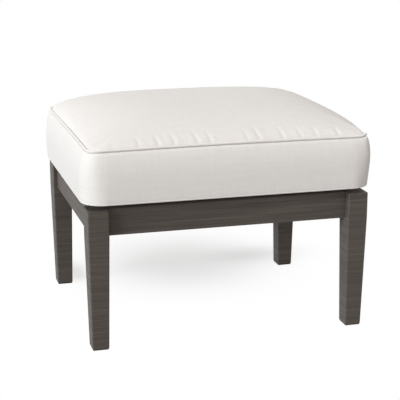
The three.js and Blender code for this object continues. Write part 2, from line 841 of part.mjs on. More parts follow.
function zipSlider() {
  const inner = coilWidth / 2 + joinGap;
  const outer = inner + sliderWall;
  const footY = tapeFaceY + joinGap;
  const channelY = coilFaceY + joinGap;
  const section = new THREE.Shape();
  section.moveTo(footY, zipZ - outer);
  section.lineTo(sliderTopY, zipZ - outer);
  section.lineTo(sliderTopY, zipZ + outer);
  section.lineTo(footY, zipZ + outer);
  section.lineTo(footY, zipZ + inner);
  section.lineTo(channelY, zipZ + inner);
  section.lineTo(channelY, zipZ - inner);
  section.lineTo(footY, zipZ - inner);
  section.closePath();

  const half = bridgeLength / 2;
  const openingHalf = half - bridgeFoot;
  const root = sliderTopY - sliderWall / 2;
  const openingTop = sliderTopY + bridgeOpening;
  const bridge = new THREE.Shape();
  bridge.moveTo(half, root);
  bridge.lineTo(half, openingTop);
  bridge.lineTo(openingHalf, openingTop + bridgeThickness);
  bridge.lineTo(-openingHalf, openingTop + bridgeThickness);
  bridge.lineTo(-half, openingTop);
  bridge.lineTo(-half, root);
  bridge.lineTo(-openingHalf, root);
  bridge.lineTo(-openingHalf, openingTop);
  bridge.lineTo(openingHalf, openingTop);
  bridge.lineTo(openingHalf, root);
  bridge.closePath();
  const arch = extruded(bridge, bridgeWidth).translate(0, 0, zipZ);
  const slider = piece("zip_slider", join(alongX(section, sliderLength), arch), "zipMetal");
  slider.position.x = sliderX;
  return slider;
}

function zipPull() {
  const eyeHalf = bridgeWidth / 2 + pullClearance;
  const armHalf = eyeHalf + pullArm;
  const bar = pullThickness / 2;
  const tipHalf = pullTipWidth / 2;
  const shape = new THREE.Shape();
  shape.moveTo(bar, -armHalf);
  shape.lineTo(bar, armHalf);
  shape.lineTo(-bar - pullEyeLength, armHalf);
  shape.lineTo(-pullLength, tipHalf);
  shape.lineTo(-pullLength - tipHalf / 2, 0);
  shape.lineTo(-pullLength, -tipHalf);
  shape.lineTo(-bar - pullEyeLength, -armHalf);
  shape.closePath();
  const eye = new THREE.Path();
  eye.moveTo(-bar, -eyeHalf);
  eye.lineTo(-bar - pullEyeLength, -eyeHalf);
  eye.lineTo(-bar - pullEyeLength, eyeHalf);
  eye.lineTo(-bar, eyeHalf);
  eye.closePath();
  shape.holes.push(eye);
  const pull = piece("zip_pull", alongY(shape, pullThickness), "zipMetal");
  pull.position.set(sliderX, pullAxisY, zipZ);
  return pull;
}

function zip() {
  const seamShare = (pipingRadius + layerGap) / boxingHeight;
  const halfOpening = zipOpening / 2 / boxingHeight;
  return [
    zipPlacket("zip_placket_lower", seamShare, zipMiddleShare - halfOpening),
    zipPlacket("zip_placket_upper", zipMiddleShare + halfOpening, 1 - seamShare),
    zipTape(),
    zipSlider(),
    zipPull(),
  ];
}

function cushion() {
  const group = new THREE.Group();
  group.add(foamCore(), crownPad(), coverTopPanel(), coverBoxing(), coverBottomPanel());
  group.add(...pipings(), ...zip());
  return group;
}

const ottoman = new THREE.Group();
ottoman.add(legsAndGlides(), frameSides(), deck(), cushion());

export default ottoman;
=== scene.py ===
import math

import bmesh
import bpy
import numpy as np
from bpy.props import FloatProperty, FloatVectorProperty, IntProperty, PointerProperty
from mathutils import Matrix, Vector


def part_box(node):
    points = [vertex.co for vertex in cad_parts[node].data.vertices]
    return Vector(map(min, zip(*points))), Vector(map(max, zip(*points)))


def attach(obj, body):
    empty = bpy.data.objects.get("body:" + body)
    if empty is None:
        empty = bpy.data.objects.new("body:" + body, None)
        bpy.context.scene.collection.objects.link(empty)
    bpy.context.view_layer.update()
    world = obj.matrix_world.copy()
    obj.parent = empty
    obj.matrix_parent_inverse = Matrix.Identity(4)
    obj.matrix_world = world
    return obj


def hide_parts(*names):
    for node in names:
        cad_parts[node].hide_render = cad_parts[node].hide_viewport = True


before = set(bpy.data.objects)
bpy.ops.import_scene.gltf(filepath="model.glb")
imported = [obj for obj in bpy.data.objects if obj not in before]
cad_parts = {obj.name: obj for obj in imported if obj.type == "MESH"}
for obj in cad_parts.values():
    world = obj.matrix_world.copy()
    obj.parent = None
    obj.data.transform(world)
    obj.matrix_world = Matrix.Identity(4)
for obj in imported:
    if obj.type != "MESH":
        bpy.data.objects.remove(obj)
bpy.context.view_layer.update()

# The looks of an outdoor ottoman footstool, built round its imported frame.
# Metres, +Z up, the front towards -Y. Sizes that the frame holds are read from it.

bl_info = {
    "name": "Outdoor ottoman looks",
    "version": (1, 0, 0),
    "blender": (4, 5, 0),
    "location": "View3D > Sidebar > Ottoman",
    "description": "Cushion, webbing, zip, coat and stage for an outdoor ottoman footstool",
    "category": "Object",
}

# The solid piping has six sides, so its height is a little less than its width.
PIPING_RADIUS = 0.0023
PIPING_RISE = PIPING_RADIUS * math.sin(math.radians(60))
TOP_SEAM_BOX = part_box("piping_top")
BOTTOM_SEAM_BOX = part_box("piping_bottom")
TAPE_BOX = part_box("zip_tape")
CROWN_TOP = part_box("cover_top_panel")[1].z
REST_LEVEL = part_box("cover_bottom_panel")[0].z
SEAM_LOW = TOP_SEAM_BOX[0].z + PIPING_RISE
SEAM_HIGH = TOP_SEAM_BOX[1].z - PIPING_RISE
BOTTOM_SEAM = (BOTTOM_SEAM_BOX[0].z + BOTTOM_SEAM_BOX[1].z) / 2
BOXING_HEIGHT = SEAM_LOW - BOTTOM_SEAM
TAPE_HALF = (TAPE_BOX[1].z - TAPE_BOX[0].z) / 2
TAPE_MIDDLE = (TAPE_BOX[0].z + TAPE_BOX[1].z) / 2
TOP_HALF = np.array([TOP_SEAM_BOX[1].x, TOP_SEAM_BOX[1].y]) - PIPING_RADIUS
BOTTOM_HALF = np.array([BOTTOM_SEAM_BOX[1].x, BOTTOM_SEAM_BOX[1].y]) - PIPING_RADIUS


# Sizes and colours that a user would change


def number(name, description, default, **more):
    return FloatProperty(name=name, description=description, default=default, **more)


def metres(name, description, default, **more):
    return number(name, description, default, unit="LENGTH", precision=5, **more)


def fraction(name, description, default, **more):
    return number(name, description, default, subtype="FACTOR", **more)


def numbers(name, description, default, **more):
    return FloatVectorProperty(name=name, description=description, default=default,
                               size=len(default), **more)


def colour_of(name, description, default):
    return numbers(name, description, default, subtype="COLOR")


class CushionSizes(bpy.types.PropertyGroup):
    """Sizes and cloth of the loose cushion"""

    cell: metres("Cell", "Spacing of the cloth's grid before it is refined", 0.0043, min=0.002)
    top_corner: metres("Top corner radius", "Radius of the top seam's corners", 0.013)
    bottom_corner: metres("Bottom corner radius", "Radius of the bottom seam's corners", 0.046)
    front_left_corner: metres(
        "Front left corner", "Radius of the top seam's front left corner", 0.026)
    crown_left: numbers(
        "Left of crown", "Its power and its fullness, left of the middle", (3.55, 0.54))
    left_ease: number(
        "Left ease", "How much gentler the crown's left is towards the front", 0.32)
    crown_right: numbers(
        "Right of crown", "Its power and its fullness, right of the middle", (2.64, 0.363))
    crown_front: numbers(
        "Front of crown", "Its power and its fullness, before the middle", (2.8, 0.75))
    crown_back: numbers(
        "Back of crown", "Its power and its fullness, behind the middle", (4.06, 0.382))
    corner_fill: number("Corner fill", "How full the crown is towards its corners", 0.76, min=0.1)
    bulge: metres("Boxing bulge", "How far the boxing stands out past its seams", 0.0105)
    bulge_height: fraction(
        "Bulge height", "Where the boxing stands out most, as a share", 0.62, min=0.3, max=0.8)
    tuck: metres("Seam tuck", "How deep the cloth is drawn in under the piping", 0.0065)
    relief: fraction("Relief", "Share kept of the creases that the pressure makes", 0.14)
    pressure: number("Pressure", "Pressure of the filling on the cloth", 4.0)
    slack: fraction("Slack", "Share by which the cloth is cut larger than its filling", 0.002)
    pucker_depth: metres("Pucker depth", "Depth of the creases beside the top seam", 0.00078)
    pucker_width: metres("Pucker width", "Half width of a crease beside the top seam", 0.0056)
    seed: IntProperty(name="Seed", description="Draw of the creases on the unseen sides", default=7)
    cloth: colour_of("Cloth", "Colour of the cover", (0.803, 0.78, 0.76))
    cloth_shade: colour_of(
        "Cloth shade", "Colour of the cover's darker threads", (0.755, 0.731, 0.709))


class ZipSizes(bpy.types.PropertyGroup):
    """Sizes of the zip in the back of the boxing"""

    cover: metres("Cloth thickness", "Thickness of the cover's cloth", 0.001)
    gap: metres("Layer gap", "Room between layers of cloth", 0.0003)
    tape_thickness: metres("Tape thickness", "Thickness of the zip's tape", 0.0008)
    coil_width: metres("Coil width", "Width of the closed coil", 0.0056)
    coil_pitch: metres("Coil pitch", "Distance from one turn of the coil to the next", 0.0015)
    wire: metres("Coil wire", "Radius of the coil's wire", 0.00036)
    opening: metres("Opening", "Distance between the folds of the plackets", 0.014)
    puff: metres("Puff", "How far the cloth puffs out beside the tape", 0.005)
    recess: metres("Recess", "How deep the cushion lies behind the zip", 0.0026)
    fold: metres("Fold width", "Width of cloth folded back at a placket's edge", 0.009)
    stitch: metres("Stitch", "Length from one stitch to the next", 0.0034)
    thread: metres("Thread", "Radius of the sewing thread", 0.0003)
    tape: colour_of("Tape", "Colour of the tape", (0.70, 0.68, 0.64))


class DeckSizes(bpy.types.PropertyGroup):
    """Sizes of the webbing deck and its screws"""

    thickness: metres("Webbing thickness", "Thickness of a webbing strap", 0.0019)
    margin: metres("Weave margin", "How far a strap stays level past one that crosses it", 0.002)
    ledge: metres("Ledge", "Length of a strap's end that lies on the ledger", 0.0223)
    rib: metres("Rib", "Spacing of the ribs across the webbing", 0.0016)
    head_radius: metres("Screw head", "Radius of a clamp screw's head", 0.0042)
    shank_radius: metres("Screw shank", "Radius of a clamp screw's shank", 0.002)
    head_height: metres("Head height", "Height of a clamp screw's head", 0.0022)
    webbing: colour_of("Webbing", "Colour of the webbing", (0.16, 0.138, 0.112))


class FrameFinish(bpy.types.PropertyGroup):
    """Coat of the legs and rails, and the finish of the small parts"""

    coat_dark: colour_of(
        "Coat, dark grain", "Darker lines of the coat's grain", (0.067, 0.0567, 0.049))
    coat_light: colour_of(
        "Coat, light grain", "Lighter lines of the coat's grain", (0.117, 0.0998, 0.0875))
    # Painted highlight: colour of the coat along its sharp edges, lighter where they catch the
    # light.
    coat_edge_highlight: colour_of("Coat, edges", "Coat where its edges are rubbed", (0.17, 0.16, 0.147))
    edge_round: metres("Edge rounding", "Rounding of the fine edges of rigid parts", 0.0004)
    leg_round: metres("Leg rounding", "Rounding of the edges of the legs and rails", 0.0016)
    nylon: colour_of("Nylon", "Colour of the glides", (0.012, 0.0115, 0.011))
    steel: colour_of("Steel", "Colour of the screws", (0.55, 0.54, 0.52))
    nickel: colour_of("Nickel", "Colour of the zip's slider and pull", (0.67, 0.65, 0.61))


class StageSettings(bpy.types.PropertyGroup):
    """Camera, lamps and floor"""

    eye: numbers("Camera place", "Where the camera stands", (-0.7228, -2.6035, 0.9522),
                 subtype="TRANSLATION", precision=4)
    sight: numbers("Camera direction", "Where the camera looks", (0.25884, 0.93203, -0.25362),
                   subtype="DIRECTION", precision=5)
    lens: number("Lens", "Focal length in millimetres on a 36 mm sensor", 109.86)
    ambient: number("Ambient", "Strength of the even light from all round", 0.43)
    ambient_tint: colour_of("Ambient tint", "Colour of the even light", (1.0, 0.95, 0.915))
    left_light: number("Left light", "Strength of the low soft light from the left", 2.46)
    left_tint: colour_of("Left tint", "Colour of the light from the left", (0.895, 0.965, 1.0))
    top_light: number("Top light", "Strength of the soft light from above", 0.74)
    front_light: number("Front light", "Strength of the soft light from the front", 0.38)
    front_tint: colour_of("Front tint", "Colour of the light from the front", (1.0, 0.82, 0.7))
    floor_bounce: fraction(
        "Floor bounce", "How much light the floor throws back on the object", 0.45)
    shadow_share: fraction(
        "Shadow share", "How much of the floor's shadow the camera sees", 0.486)
    shadow_middle: numbers("Shadow middle", "Where the floor's shadow is plainest",
                           (0.0308, 0.3369, 0.0), subtype="TRANSLATION")
    shadow_reach: numbers("Shadow reach", "How far the floor's shadow is seen along X and Y",
                          (0.2024, 0.2158, 1.0), subtype="XYZ")


# Meshes


SAME_PLACE = 1e-7


def new_object(name, mesh, material=None):
    made = bpy.data.objects.new(name, mesh)
    bpy.context.scene.collection.objects.link(made)
    if material:
        mesh.materials.append(material)
    return made


def mesh_from(name, points, faces, edges=()):
    mesh = bpy.data.meshes.new(name)
    mesh.from_pydata([tuple(map(float, point)) for point in points], list(edges),
                     [list(map(int, face)) for face in faces])
    mesh.update()
    return mesh


def facing_out(mesh):
    """Merges what coincides and turns the faces of a closed mesh outwards."""
    work = bmesh.new()
    work.from_mesh(mesh)
    bmesh.ops.remove_doubles(work, verts=work.verts, dist=SAME_PLACE)
    bmesh.ops.recalc_face_normals(work, faces=work.faces)
    work.to_mesh(mesh)
    work.free()
    return mesh


def smooth(mesh):
    mesh.polygons.foreach_set("use_smooth", np.ones(len(mesh.polygons), bool))
    return mesh


def point_values(mesh, name="co"):
    """A vector of every point of a mesh, such as its place or its normal."""
    values = np.zeros(len(mesh.vertices) * 3, np.float32)
    mesh.vertices.foreach_get(name, values)
    return values.reshape(-1, 3)


def coordinates(mesh):
    return point_values(mesh).astype(float)


def set_coordinates(mesh, points):
    mesh.vertices.foreach_set("co", points.astype(np.float32).ravel())
    mesh.update()


def shown_object(made):
    return made.evaluated_get(bpy.context.evaluated_depsgraph_get())


def finished_mesh(made):
    """The object's mesh with its modifiers applied, which are then taken off it."""
    bpy.context.view_layer.update()
    mesh = bpy.data.meshes.new_from_object(shown_object(made))
    made.modifiers.clear()
    made.data = mesh
    return made


def polylines(name, lines, closed=False):
    """A mesh of edges only, one run of them for each line of points."""
    points, edges = [], []
    for line in lines:
        start = len(points)
        points.extend(line)
        edges.extend((start + i, start + i + 1) for i in range(len(line) - 1))
        if closed:
            edges.append((len(points) - 1, start))
    return mesh_from(name, points, [], edges)


def turns(count):
    """Angles of points round a circle."""
    return [2 * math.pi * k / count for k in range(count)]


def lathe(name, profile, sides, shape):
    """A closed turned body from (radius, height) pairs that begin and end on the axis."""
    points, faces = [(0, 0, profile[0][1])], []
    for ring, (radius, height) in enumerate(profile[1:-1]):
        for angle in turns(sides):
            r = radius * shape(ring, angle)
            points.append((r * math.cos(angle), r * math.sin(angle), height))
    points.append((0, 0, profile[-1][1]))
    rings, last = len(profile) - 2, len(points) - 1
    for k in range(sides):
        j = (k + 1) % sides
        faces.append((0, 1 + j, 1 + k))
        faces.append((last, last - sides + k, last - sides + j))
        for ring in range(rings - 1):
            a, b = 1 + ring * sides, 1 + (ring + 1) * sides
            faces.append((a + k, a + j, b + j, b + k))
    return facing_out(mesh_from(name, points, faces))


def ringed(name, rings, closed):
    """A tube through rings of points. It runs back into itself, or both its ends are capped."""
    count, sides = len(rings), len(rings[0])
    faces = []
    for k in range(count if closed else count - 1):
        for s in range(sides):
            j, t = (k + 1) % count, (s + 1) % sides
            faces.append([k * sides + s, j * sides + s, j * sides + t, k * sides + t])
    if not closed:
        faces += [list(range(sides))[::-1], [(count - 1) * sides + s for s in range(sides)]]
    points = [point for ring in rings for point in ring]
    return smooth(facing_out(mesh_from(name, points, faces)))


# Node helpers


def add_node(tree, kind, inputs=None, **settings):
    """Adds a node, and fills its inputs with values or with the outputs of other nodes."""
    made = tree.nodes.new(kind)
    for key, value in settings.items():
        setattr(made, key, value)
    for key, value in (inputs or {}).items():
        if isinstance(value, bpy.types.NodeSocket):
            tree.links.new(value, made.inputs[key])
        else:
            made.inputs[key].default_value = value
    return made


def output(tree, kind, inputs=None, **settings):
    """The first output of a new node."""
    return add_node(tree, kind, inputs, **settings).outputs[0]


def calc(tree, operation, *values):
    return output(tree, "ShaderNodeMath", dict(enumerate(values)), operation=operation)


def vector_calc(tree, operation, *values):
    return output(tree, "ShaderNodeVectorMath", dict(enumerate(values)), operation=operation)


def vector_value(tree, operation, *values):
    """The plain number that an operation on vectors gives."""
    inputs = dict(enumerate(values))
    made = add_node(tree, "ShaderNodeVectorMath", inputs, operation=operation)
    return made.outputs["Value"]


def scaled(tree, vector, factor):
    return output(tree, "ShaderNodeVectorMath", {0: vector, "Scale": factor}, operation="SCALE")


def combine(tree, **parts):
    return output(tree, "ShaderNodeCombineXYZ", {key.upper(): part for key, part in parts.items()})


def separate(tree, vector):
    return add_node(tree, "ShaderNodeSeparateXYZ", {0: vector}).outputs


def remap(tree, value, low, high, new_low, new_high):
    rows = enumerate((value, low, high, new_low, new_high))
    return output(tree, "ShaderNodeMapRange", dict(rows))


def noise(tree, place, scale=1.0, detail=2.0, roughness=0.5, **more):
    return output(tree, "ShaderNodeTexNoise", {
        "Vector": place, "Scale": scale, "Detail": detail, "Roughness": roughness, **more})


def mix(tree, share, first, second):
    rows = {0: share, 6: first, 7: second}
    return add_node(tree, "ShaderNodeMix", rows, data_type="RGBA").outputs[2]


def object_place(tree):
    return add_node(tree, "ShaderNodeTexCoord").outputs["Object"]


def face_normal(tree):
    return add_node(tree, "ShaderNodeNewGeometry").outputs["Normal"]


def attribute(tree, name):
    return add_node(tree, "ShaderNodeAttribute", attribute_name=name).outputs["Fac"]


def number_input(label, default):
    return label, "NodeSocketFloat", default


def vector_input(label, default=(0.0, 0.0, 0.0)):
    return label, "NodeSocketVector", default


def new_group(name, kind, inputs, outputs, output_type="NodeSocketFloat"):
    """A node group with sockets from (name, type, default) rows, and from names of outputs.

    Returns it with the sockets that come in and those that go out."""
    group = bpy.data.node_groups.new(name, kind)
    for label, socket, default in inputs:
        made = group.interface.new_socket(name=label, in_out="INPUT", socket_type=socket)
        if default is not None:
            made.default_value = default
    for label in outputs:
        group.interface.new_socket(name=label, in_out="OUTPUT", socket_type=output_type)
    start = group.nodes.new("NodeGroupInput")
    end = group.nodes.new("NodeGroupOutput")
    return group, start.outputs, end.inputs


# Shader groups that several materials share


# Wide and narrow slubs of a cloth: their share of the full size, and the detail of their noise.
SLUB_SIZES = ((1.0, 2.0), (0.28, 1.0))
WARP_LAYER, WEFT_LAYER = 0.0, 5.3


def weave_group():
    """Plain woven cloth: long uneven threads both ways, and the fine over and under."""
    group, start, end = new_group(
        "woven_threads", "ShaderNodeTree",
        [vector_input("Place"), number_input("Thread", 0.0006),
         number_input("Slub width", 0.0045), number_input("Slub length", 0.09)],
        ["Tint", "Height"])
    x, y, _ = separate(group, start["Place"])
    streaks = []
    for across, along, layer in ((x, y, WARP_LAYER), (y, x, WEFT_LAYER)):
        for shrink, detail in SLUB_SIZES:
            width = calc(group, "MULTIPLY", start["Slub width"], shrink)
            length = calc(group, "MULTIPLY", start["Slub length"], shrink)
            streak = combine(group, x=calc(group, "DIVIDE", across, width),
                             y=calc(group, "DIVIDE", along, length), z=layer + shrink)
            streaks.append(noise(group, streak, detail=detail, roughness=0.55))
    wide = calc(group, "ADD", streaks[0], streaks[2])
    fine = calc(group, "ADD", streaks[1], streaks[3])
    both = calc(group, "ADD", wide, fine)
    pitch = calc(group, "DIVIDE", math.pi, start["Thread"])
    warp, weft = (calc(group, "SINE", calc(group, "MULTIPLY", way, pitch)) for way in (x, y))
    over = calc(group, "MULTIPLY_ADD", calc(group, "MULTIPLY", warp, weft), 0.5, 0.5)
    group.links.new(calc(group, "MULTIPLY_ADD", both, 1.1, -1.7), end["Tint"])
    group.links.new(calc(group, "MULTIPLY_ADD", fine, 0.8, over), end["Height"])
    return group


# How the grain is drawn out: on upright faces, and on level ones of pieces along X and along Y.
ALONG_SIDES = (7.0, 7.0, 420.0)
ALONG_X = (7.0, 420.0, 1.0)
ALONG_Y = (420.0, 7.0, 1.0)
# The soft bands are the same grain at these shares of its fineness.
BROAD_SHARES = (0.45, 0.45, 0.22)
# A face counts as level when its normal points this much up or down.
LEVEL_FACE = 0.7


def grain_group():
    """Level grain of a driftwood coat: fine dark lines over broader soft bands."""
    group, start, end = new_group(
        "driftwood_grain", "ShaderNodeTree",
        [vector_input("Place"), vector_input("Top stretch", ALONG_X)], ["Tint", "Height"])
    up = separate(group, face_normal(group))[2]
    level = calc(group, "GREATER_THAN", calc(group, "ABSOLUTE", up), LEVEL_FACE)
    side_place = vector_calc(group, "MULTIPLY", start["Place"], ALONG_SIDES)
    top_place = vector_calc(group, "MULTIPLY", start["Place"], start["Top stretch"])
    place = add_node(group, "ShaderNodeMix", {0: level, 4: side_place, 5: top_place},
                     data_type="VECTOR").outputs[1]
    fine = noise(group, place, detail=3.0, roughness=0.62, Distortion=0.15)
    broad = noise(group, vector_calc(group, "MULTIPLY", place, BROAD_SHARES))
    cloudy = noise(group, start["Place"], scale=9.0)
    lines = remap(group, fine, 0.3, 0.68, 0.0, 1.0)
    bands = remap(group, broad, 0.3, 0.7, -0.22, 0.22)
    clouds = calc(group, "MULTIPLY_ADD", cloudy, 0.3, -0.15)
    tint = calc(group, "ADD", calc(group, "MULTIPLY", lines, 0.75), bands)
    group.links.new(calc(group, "ADD", tint, clouds), end["Tint"])
    group.links.new(lines, end["Height"])
    return group


def edge_highlight_group():
    """A mask of sharp edges, broken up by noise, where a highlight is painted."""
    group, start, end = new_group(
        "edge_wear", "ShaderNodeTree",
        [number_input("Radius", 0.002), number_input("Patchiness", 60.0)], ["Mask"])
    rounded = output(group, "ShaderNodeBevel", {"Radius": start["Radius"]}, samples=4)
    alike = vector_value(group, "DOT_PRODUCT", rounded, face_normal(group))
    sharp = remap(group, alike, 0.995, 0.85, 0.0, 1.0)
    patches = noise(group, object_place(group), start["Patchiness"], detail=3.0)
    broken = remap(group, patches, 0.4, 0.65, 0.25, 1.0)
    group.links.new(calc(group, "MULTIPLY", sharp, broken), end["Mask"])
    return group


SHADER_GROUPS = {}


def use_group(tree, build, inputs):
    """Outputs of a shared shader group, which is built the first time that it is asked for."""
    if build not in SHADER_GROUPS:
        SHADER_GROUPS[build] = build()
    return add_node(tree, "ShaderNodeGroup", inputs, node_tree=SHADER_GROUPS[build]).outputs


# Materials


def new_material(name, **constants):
    """A material with a Principled surface whose plain values are set on its own sockets."""
    material = bpy.data.materials.new(name)
    material.use_nodes = True
    tree = material.node_tree
    surface = tree.nodes["Principled BSDF"]
    for key, value in constants.items():
        surface.inputs[key.replace("_", " ")].default_value = value
    return material, tree, surface


def two_tones(tree, share, dark, light):
    return mix(tree, share, (*dark, 1), (*light, 1))


def shade(colour, share):
    return [min(1.0, part * share) for part in colour]


def feed(tree, surface, colour, height, distance, strength=1.0, rough=None):
    """Gives a surface its colour, its relief, and its uneven gloss if it has that."""
    bump = output(tree, "ShaderNodeBump", {
        "Strength": strength, "Distance": distance, "Height": height})
    tree.links.new(colour, surface.inputs["Base Color"])
    tree.links.new(bump, surface.inputs["Normal"])
    if rough is not None:
        tree.links.new(rough, surface.inputs["Roughness"])


def cloth_material(name, place_of, sizes, slub_width=0.0045):
    """Off-white outdoor cloth. place_of gives the socket with the place on the cloth."""
    material, tree, surface = new_material(name, Roughness=0.9, Specular_IOR_Level=0.25,
                                           Sheen_Weight=0.12, Sheen_Roughness=0.5)
    weave = use_group(tree, weave_group, {"Place": place_of(tree), "Slub width": slub_width})
    colour = two_tones(tree, weave["Tint"], sizes.cloth_shade, sizes.cloth)
    feed(tree, surface, colour, weave["Height"], distance=0.00012, strength=0.6)
    return material


def cloth_map(tree):
    return output(tree, "ShaderNodeUVMap", uv_map="cloth")


def bias_place(tree):
    """Place on piping, whose cloth is cut on the bias: along and round it, turned 45 degrees."""
    girth = calc(tree, "MULTIPLY", attribute(tree, "round"), 2 * math.pi * PIPING_RADIUS)
    flat = combine(tree, x=attribute(tree, "along"), y=girth)
    return output(tree, "ShaderNodeMapping", {
        "Vector": flat, "Rotation": (0, 0, math.radians(45))})


# Share of the painted edge highlight on the coat.
COAT_EDGE_HIGHLIGHT = 0.55


def coat_material(name, finish, top_stretch):
    """A level wood grain in a coat, with a highlight painted lighter along its edges."""
    material, tree, surface = new_material(name, Specular_IOR_Level=0.2)
    grain = use_group(tree, grain_group, {
        "Place": object_place(tree), "Top stretch": top_stretch})
    # Painted highlight: the coat turns lighter along its sharp edges.
    edge_highlight = use_group(tree, edge_highlight_group, {"Radius": 0.0016})[0]
    highlighted = calc(tree, "MULTIPLY", edge_highlight, COAT_EDGE_HIGHLIGHT)
    plain = two_tones(tree, grain["Tint"], finish.coat_dark, finish.coat_light)
    colour = mix(tree, highlighted, plain, (*finish.coat_edge_highlight, 1))
    rough = remap(tree, grain["Tint"], 0.0, 1.0, 0.62, 0.48)
    feed(tree, surface, colour, grain["Height"], distance=0.00012, strength=0.7, rough=rough)
    return material


def speckled_material(name, dark, light, scale, roughness, bump, edge_highlight=0.0):
    """A fine grained plastic, thread or coat: two close tones, and uneven gloss."""
    material, tree, surface = new_material(name)
    speckle = noise(tree, object_place(tree), scale, detail=4.0, roughness=0.6)
    colour = two_tones(tree, speckle, dark, light)
    # Painted highlight: when a strength is given, the sharp edges are mixed towards a lighter tone.
    if edge_highlight:
        mask = use_group(tree, edge_highlight_group, {"Radius": 0.0008})[0]
        colour = mix(tree, mask, colour, (*shade(light, edge_highlight), 1))
    rough = remap(tree, speckle, 0.3, 0.7, roughness - 0.08, roughness + 0.08)
    feed(tree, surface, colour, speckle, bump, rough=rough)
    return material


# How the scratches of brushed metal are drawn out along X.
SCRATCHES = (220.0, 3200.0, 3200.0)


def brushed_material(name, colour, roughness):
    """Metal with fine scratches along X."""
    material, tree, surface = new_material(name, Metallic=1.0)
    stretched = vector_calc(tree, "MULTIPLY", object_place(tree), SCRATCHES)
    scratches = noise(tree, stretched)
    tones = two_tones(tree, scratches, shade(colour, 0.8), colour)
    rough = remap(tree, scratches, 0.3, 0.7, roughness - 0.06, roughness + 0.1)
    feed(tree, surface, tones, scratches, distance=0.00002, strength=0.5, rough=rough)
    return material


def ribbed_material(name, colour, rib, groove_shade):
    """Webbing or tape: ribs along it that the cross threads pull into short steps."""
    material, tree, surface = new_material(name, Roughness=0.75, Specular_IOR_Level=0.3,
                                           Sheen_Weight=0.1)
    along, across = attribute(tree, "along"), attribute(tree, "across")
    lines = calc(tree, "SINE", calc(tree, "MULTIPLY", across, 2 * math.pi / rib))
    slant = calc(tree, "MULTIPLY_ADD", calc(tree, "ABSOLUTE", lines), 0.6 * rib, along)
    steps = calc(tree, "SINE", calc(tree, "MULTIPLY", slant, 2 * math.pi / (1.4 * rib)))
    height = calc(tree, "MULTIPLY_ADD", calc(tree, "MULTIPLY", lines, steps), 0.5, 0.5)
    uneven = noise(tree, combine(tree, x=along, y=across), scale=120.0)
    share = calc(tree, "MULTIPLY_ADD", uneven, 0.5, calc(tree, "MULTIPLY", height, 0.5))
    # Painted shade: the grooves between the ribs are darker; the tone also varies at random along
    # the weave.
    tones = two_tones(tree, share, shade(colour, groove_shade), colour)
    feed(tree, surface, tones, height, distance=0.0003, strength=0.8)
    return material


# Geometry Nodes trees


def new_tree(name, inputs):
    rows = [("Geometry", "NodeSocketGeometry", None), *inputs,
            ("Material", "NodeSocketMaterial", None)]
    return new_group(name, "GeometryNodeTree", rows, ["Geometry"], "NodeSocketGeometry")


def finish_tree(tree, start, end, geometry):
    whole = output(tree, "GeometryNodeRealizeInstances", {0: geometry})
    dressed = output(tree, "GeometryNodeSetMaterial", {
        "Geometry": whole, "Material": start["Material"]})
    tree.links.new(dressed, end[0])
    return tree


def keep_attribute(tree, geometry, name, value):
    return output(tree, "GeometryNodeStoreNamedAttribute", {
        "Geometry": geometry, "Name": name, "Value": value}, data_type="FLOAT", domain="POINT")


def line_in(tree, start, measured=True):
    """The mesh of edges that comes in, as a curve, with the length along it kept if asked."""
    line = output(tree, "GeometryNodeMeshToCurve", {0: start["Geometry"]})
    if not measured:
        return line
    length = add_node(tree, "GeometryNodeSplineParameter").outputs["Length"]
    return keep_attribute(tree, line, "along", length)


def piping_tree():
    """Sweeps a round cord along a seam and gathers its cloth a little."""
    tree, start, end = new_tree("piping_along_seam", [
        number_input("Radius", 0.002), number_input("Gather depth", 0.0002),
        number_input("Gather length", 0.01), ("Sides", "NodeSocketInt", 12),
        ("Seed", "NodeSocketInt", 1)])
    seam = line_in(tree, start)
    circle = output(tree, "GeometryNodeCurvePrimitiveCircle", {
        "Resolution": start["Sides"], "Radius": start["Radius"]})
    turn = add_node(tree, "GeometryNodeSplineParameter").outputs["Factor"]
    circle = keep_attribute(tree, circle, "round", turn)
    tube = output(tree, "GeometryNodeCurveToMesh", {"Curve": seam, "Profile Curve": circle})
    per_length = calc(tree, "DIVIDE", 1.0, start["Gather length"])
    place = scaled(tree, output(tree, "GeometryNodeInputPosition"), per_length)
    uneven = output(tree, "ShaderNodeTexNoise", {
        "Vector": place, "W": start["Seed"], "Scale": 1.0, "Detail": 1.0}, noise_dimensions="4D")
    uneven = calc(tree, "MULTIPLY_ADD", uneven, 2.0, -1.0)
    depth = calc(tree, "MULTIPLY", uneven, start["Gather depth"])
    offset = scaled(tree, output(tree, "GeometryNodeInputNormal"), depth)
    moved = output(tree, "GeometryNodeSetPosition", {"Geometry": tube, "Offset": offset})
    soft = output(tree, "GeometryNodeSetShadeSmooth", {"Geometry": moved})
    return finish_tree(tree, start, end, soft)


def strap_tree():
    """Sweeps a flat strap with round edges along its line."""
    tree, start, end = new_tree("strap_along_line", [
        number_input("Width", 0.045), number_input("Thickness", 0.002)])
    upright = output(tree, "GeometryNodeSetCurveNormal", {"Curve": line_in(tree, start)},
                     mode="Z_UP")
    outline = output(tree, "GeometryNodeCurvePrimitiveQuadrilateral", {
        "Width": start["Width"], "Height": start["Thickness"]})
    round_edge = calc(tree, "MULTIPLY", start["Thickness"], 0.45)
    outline = output(tree, "GeometryNodeFilletCurve", {
        "Curve": outline, "Count": 3, "Radius": round_edge}, mode="POLY")
    across = separate(tree, output(tree, "GeometryNodeInputPosition"))[0]
    outline = keep_attribute(tree, outline, "across", across)
    swept = output(tree, "GeometryNodeCurveToMesh", {
        "Curve": upright, "Profile Curve": outline, "Fill Caps": True})
    return finish_tree(tree, start, end, swept)


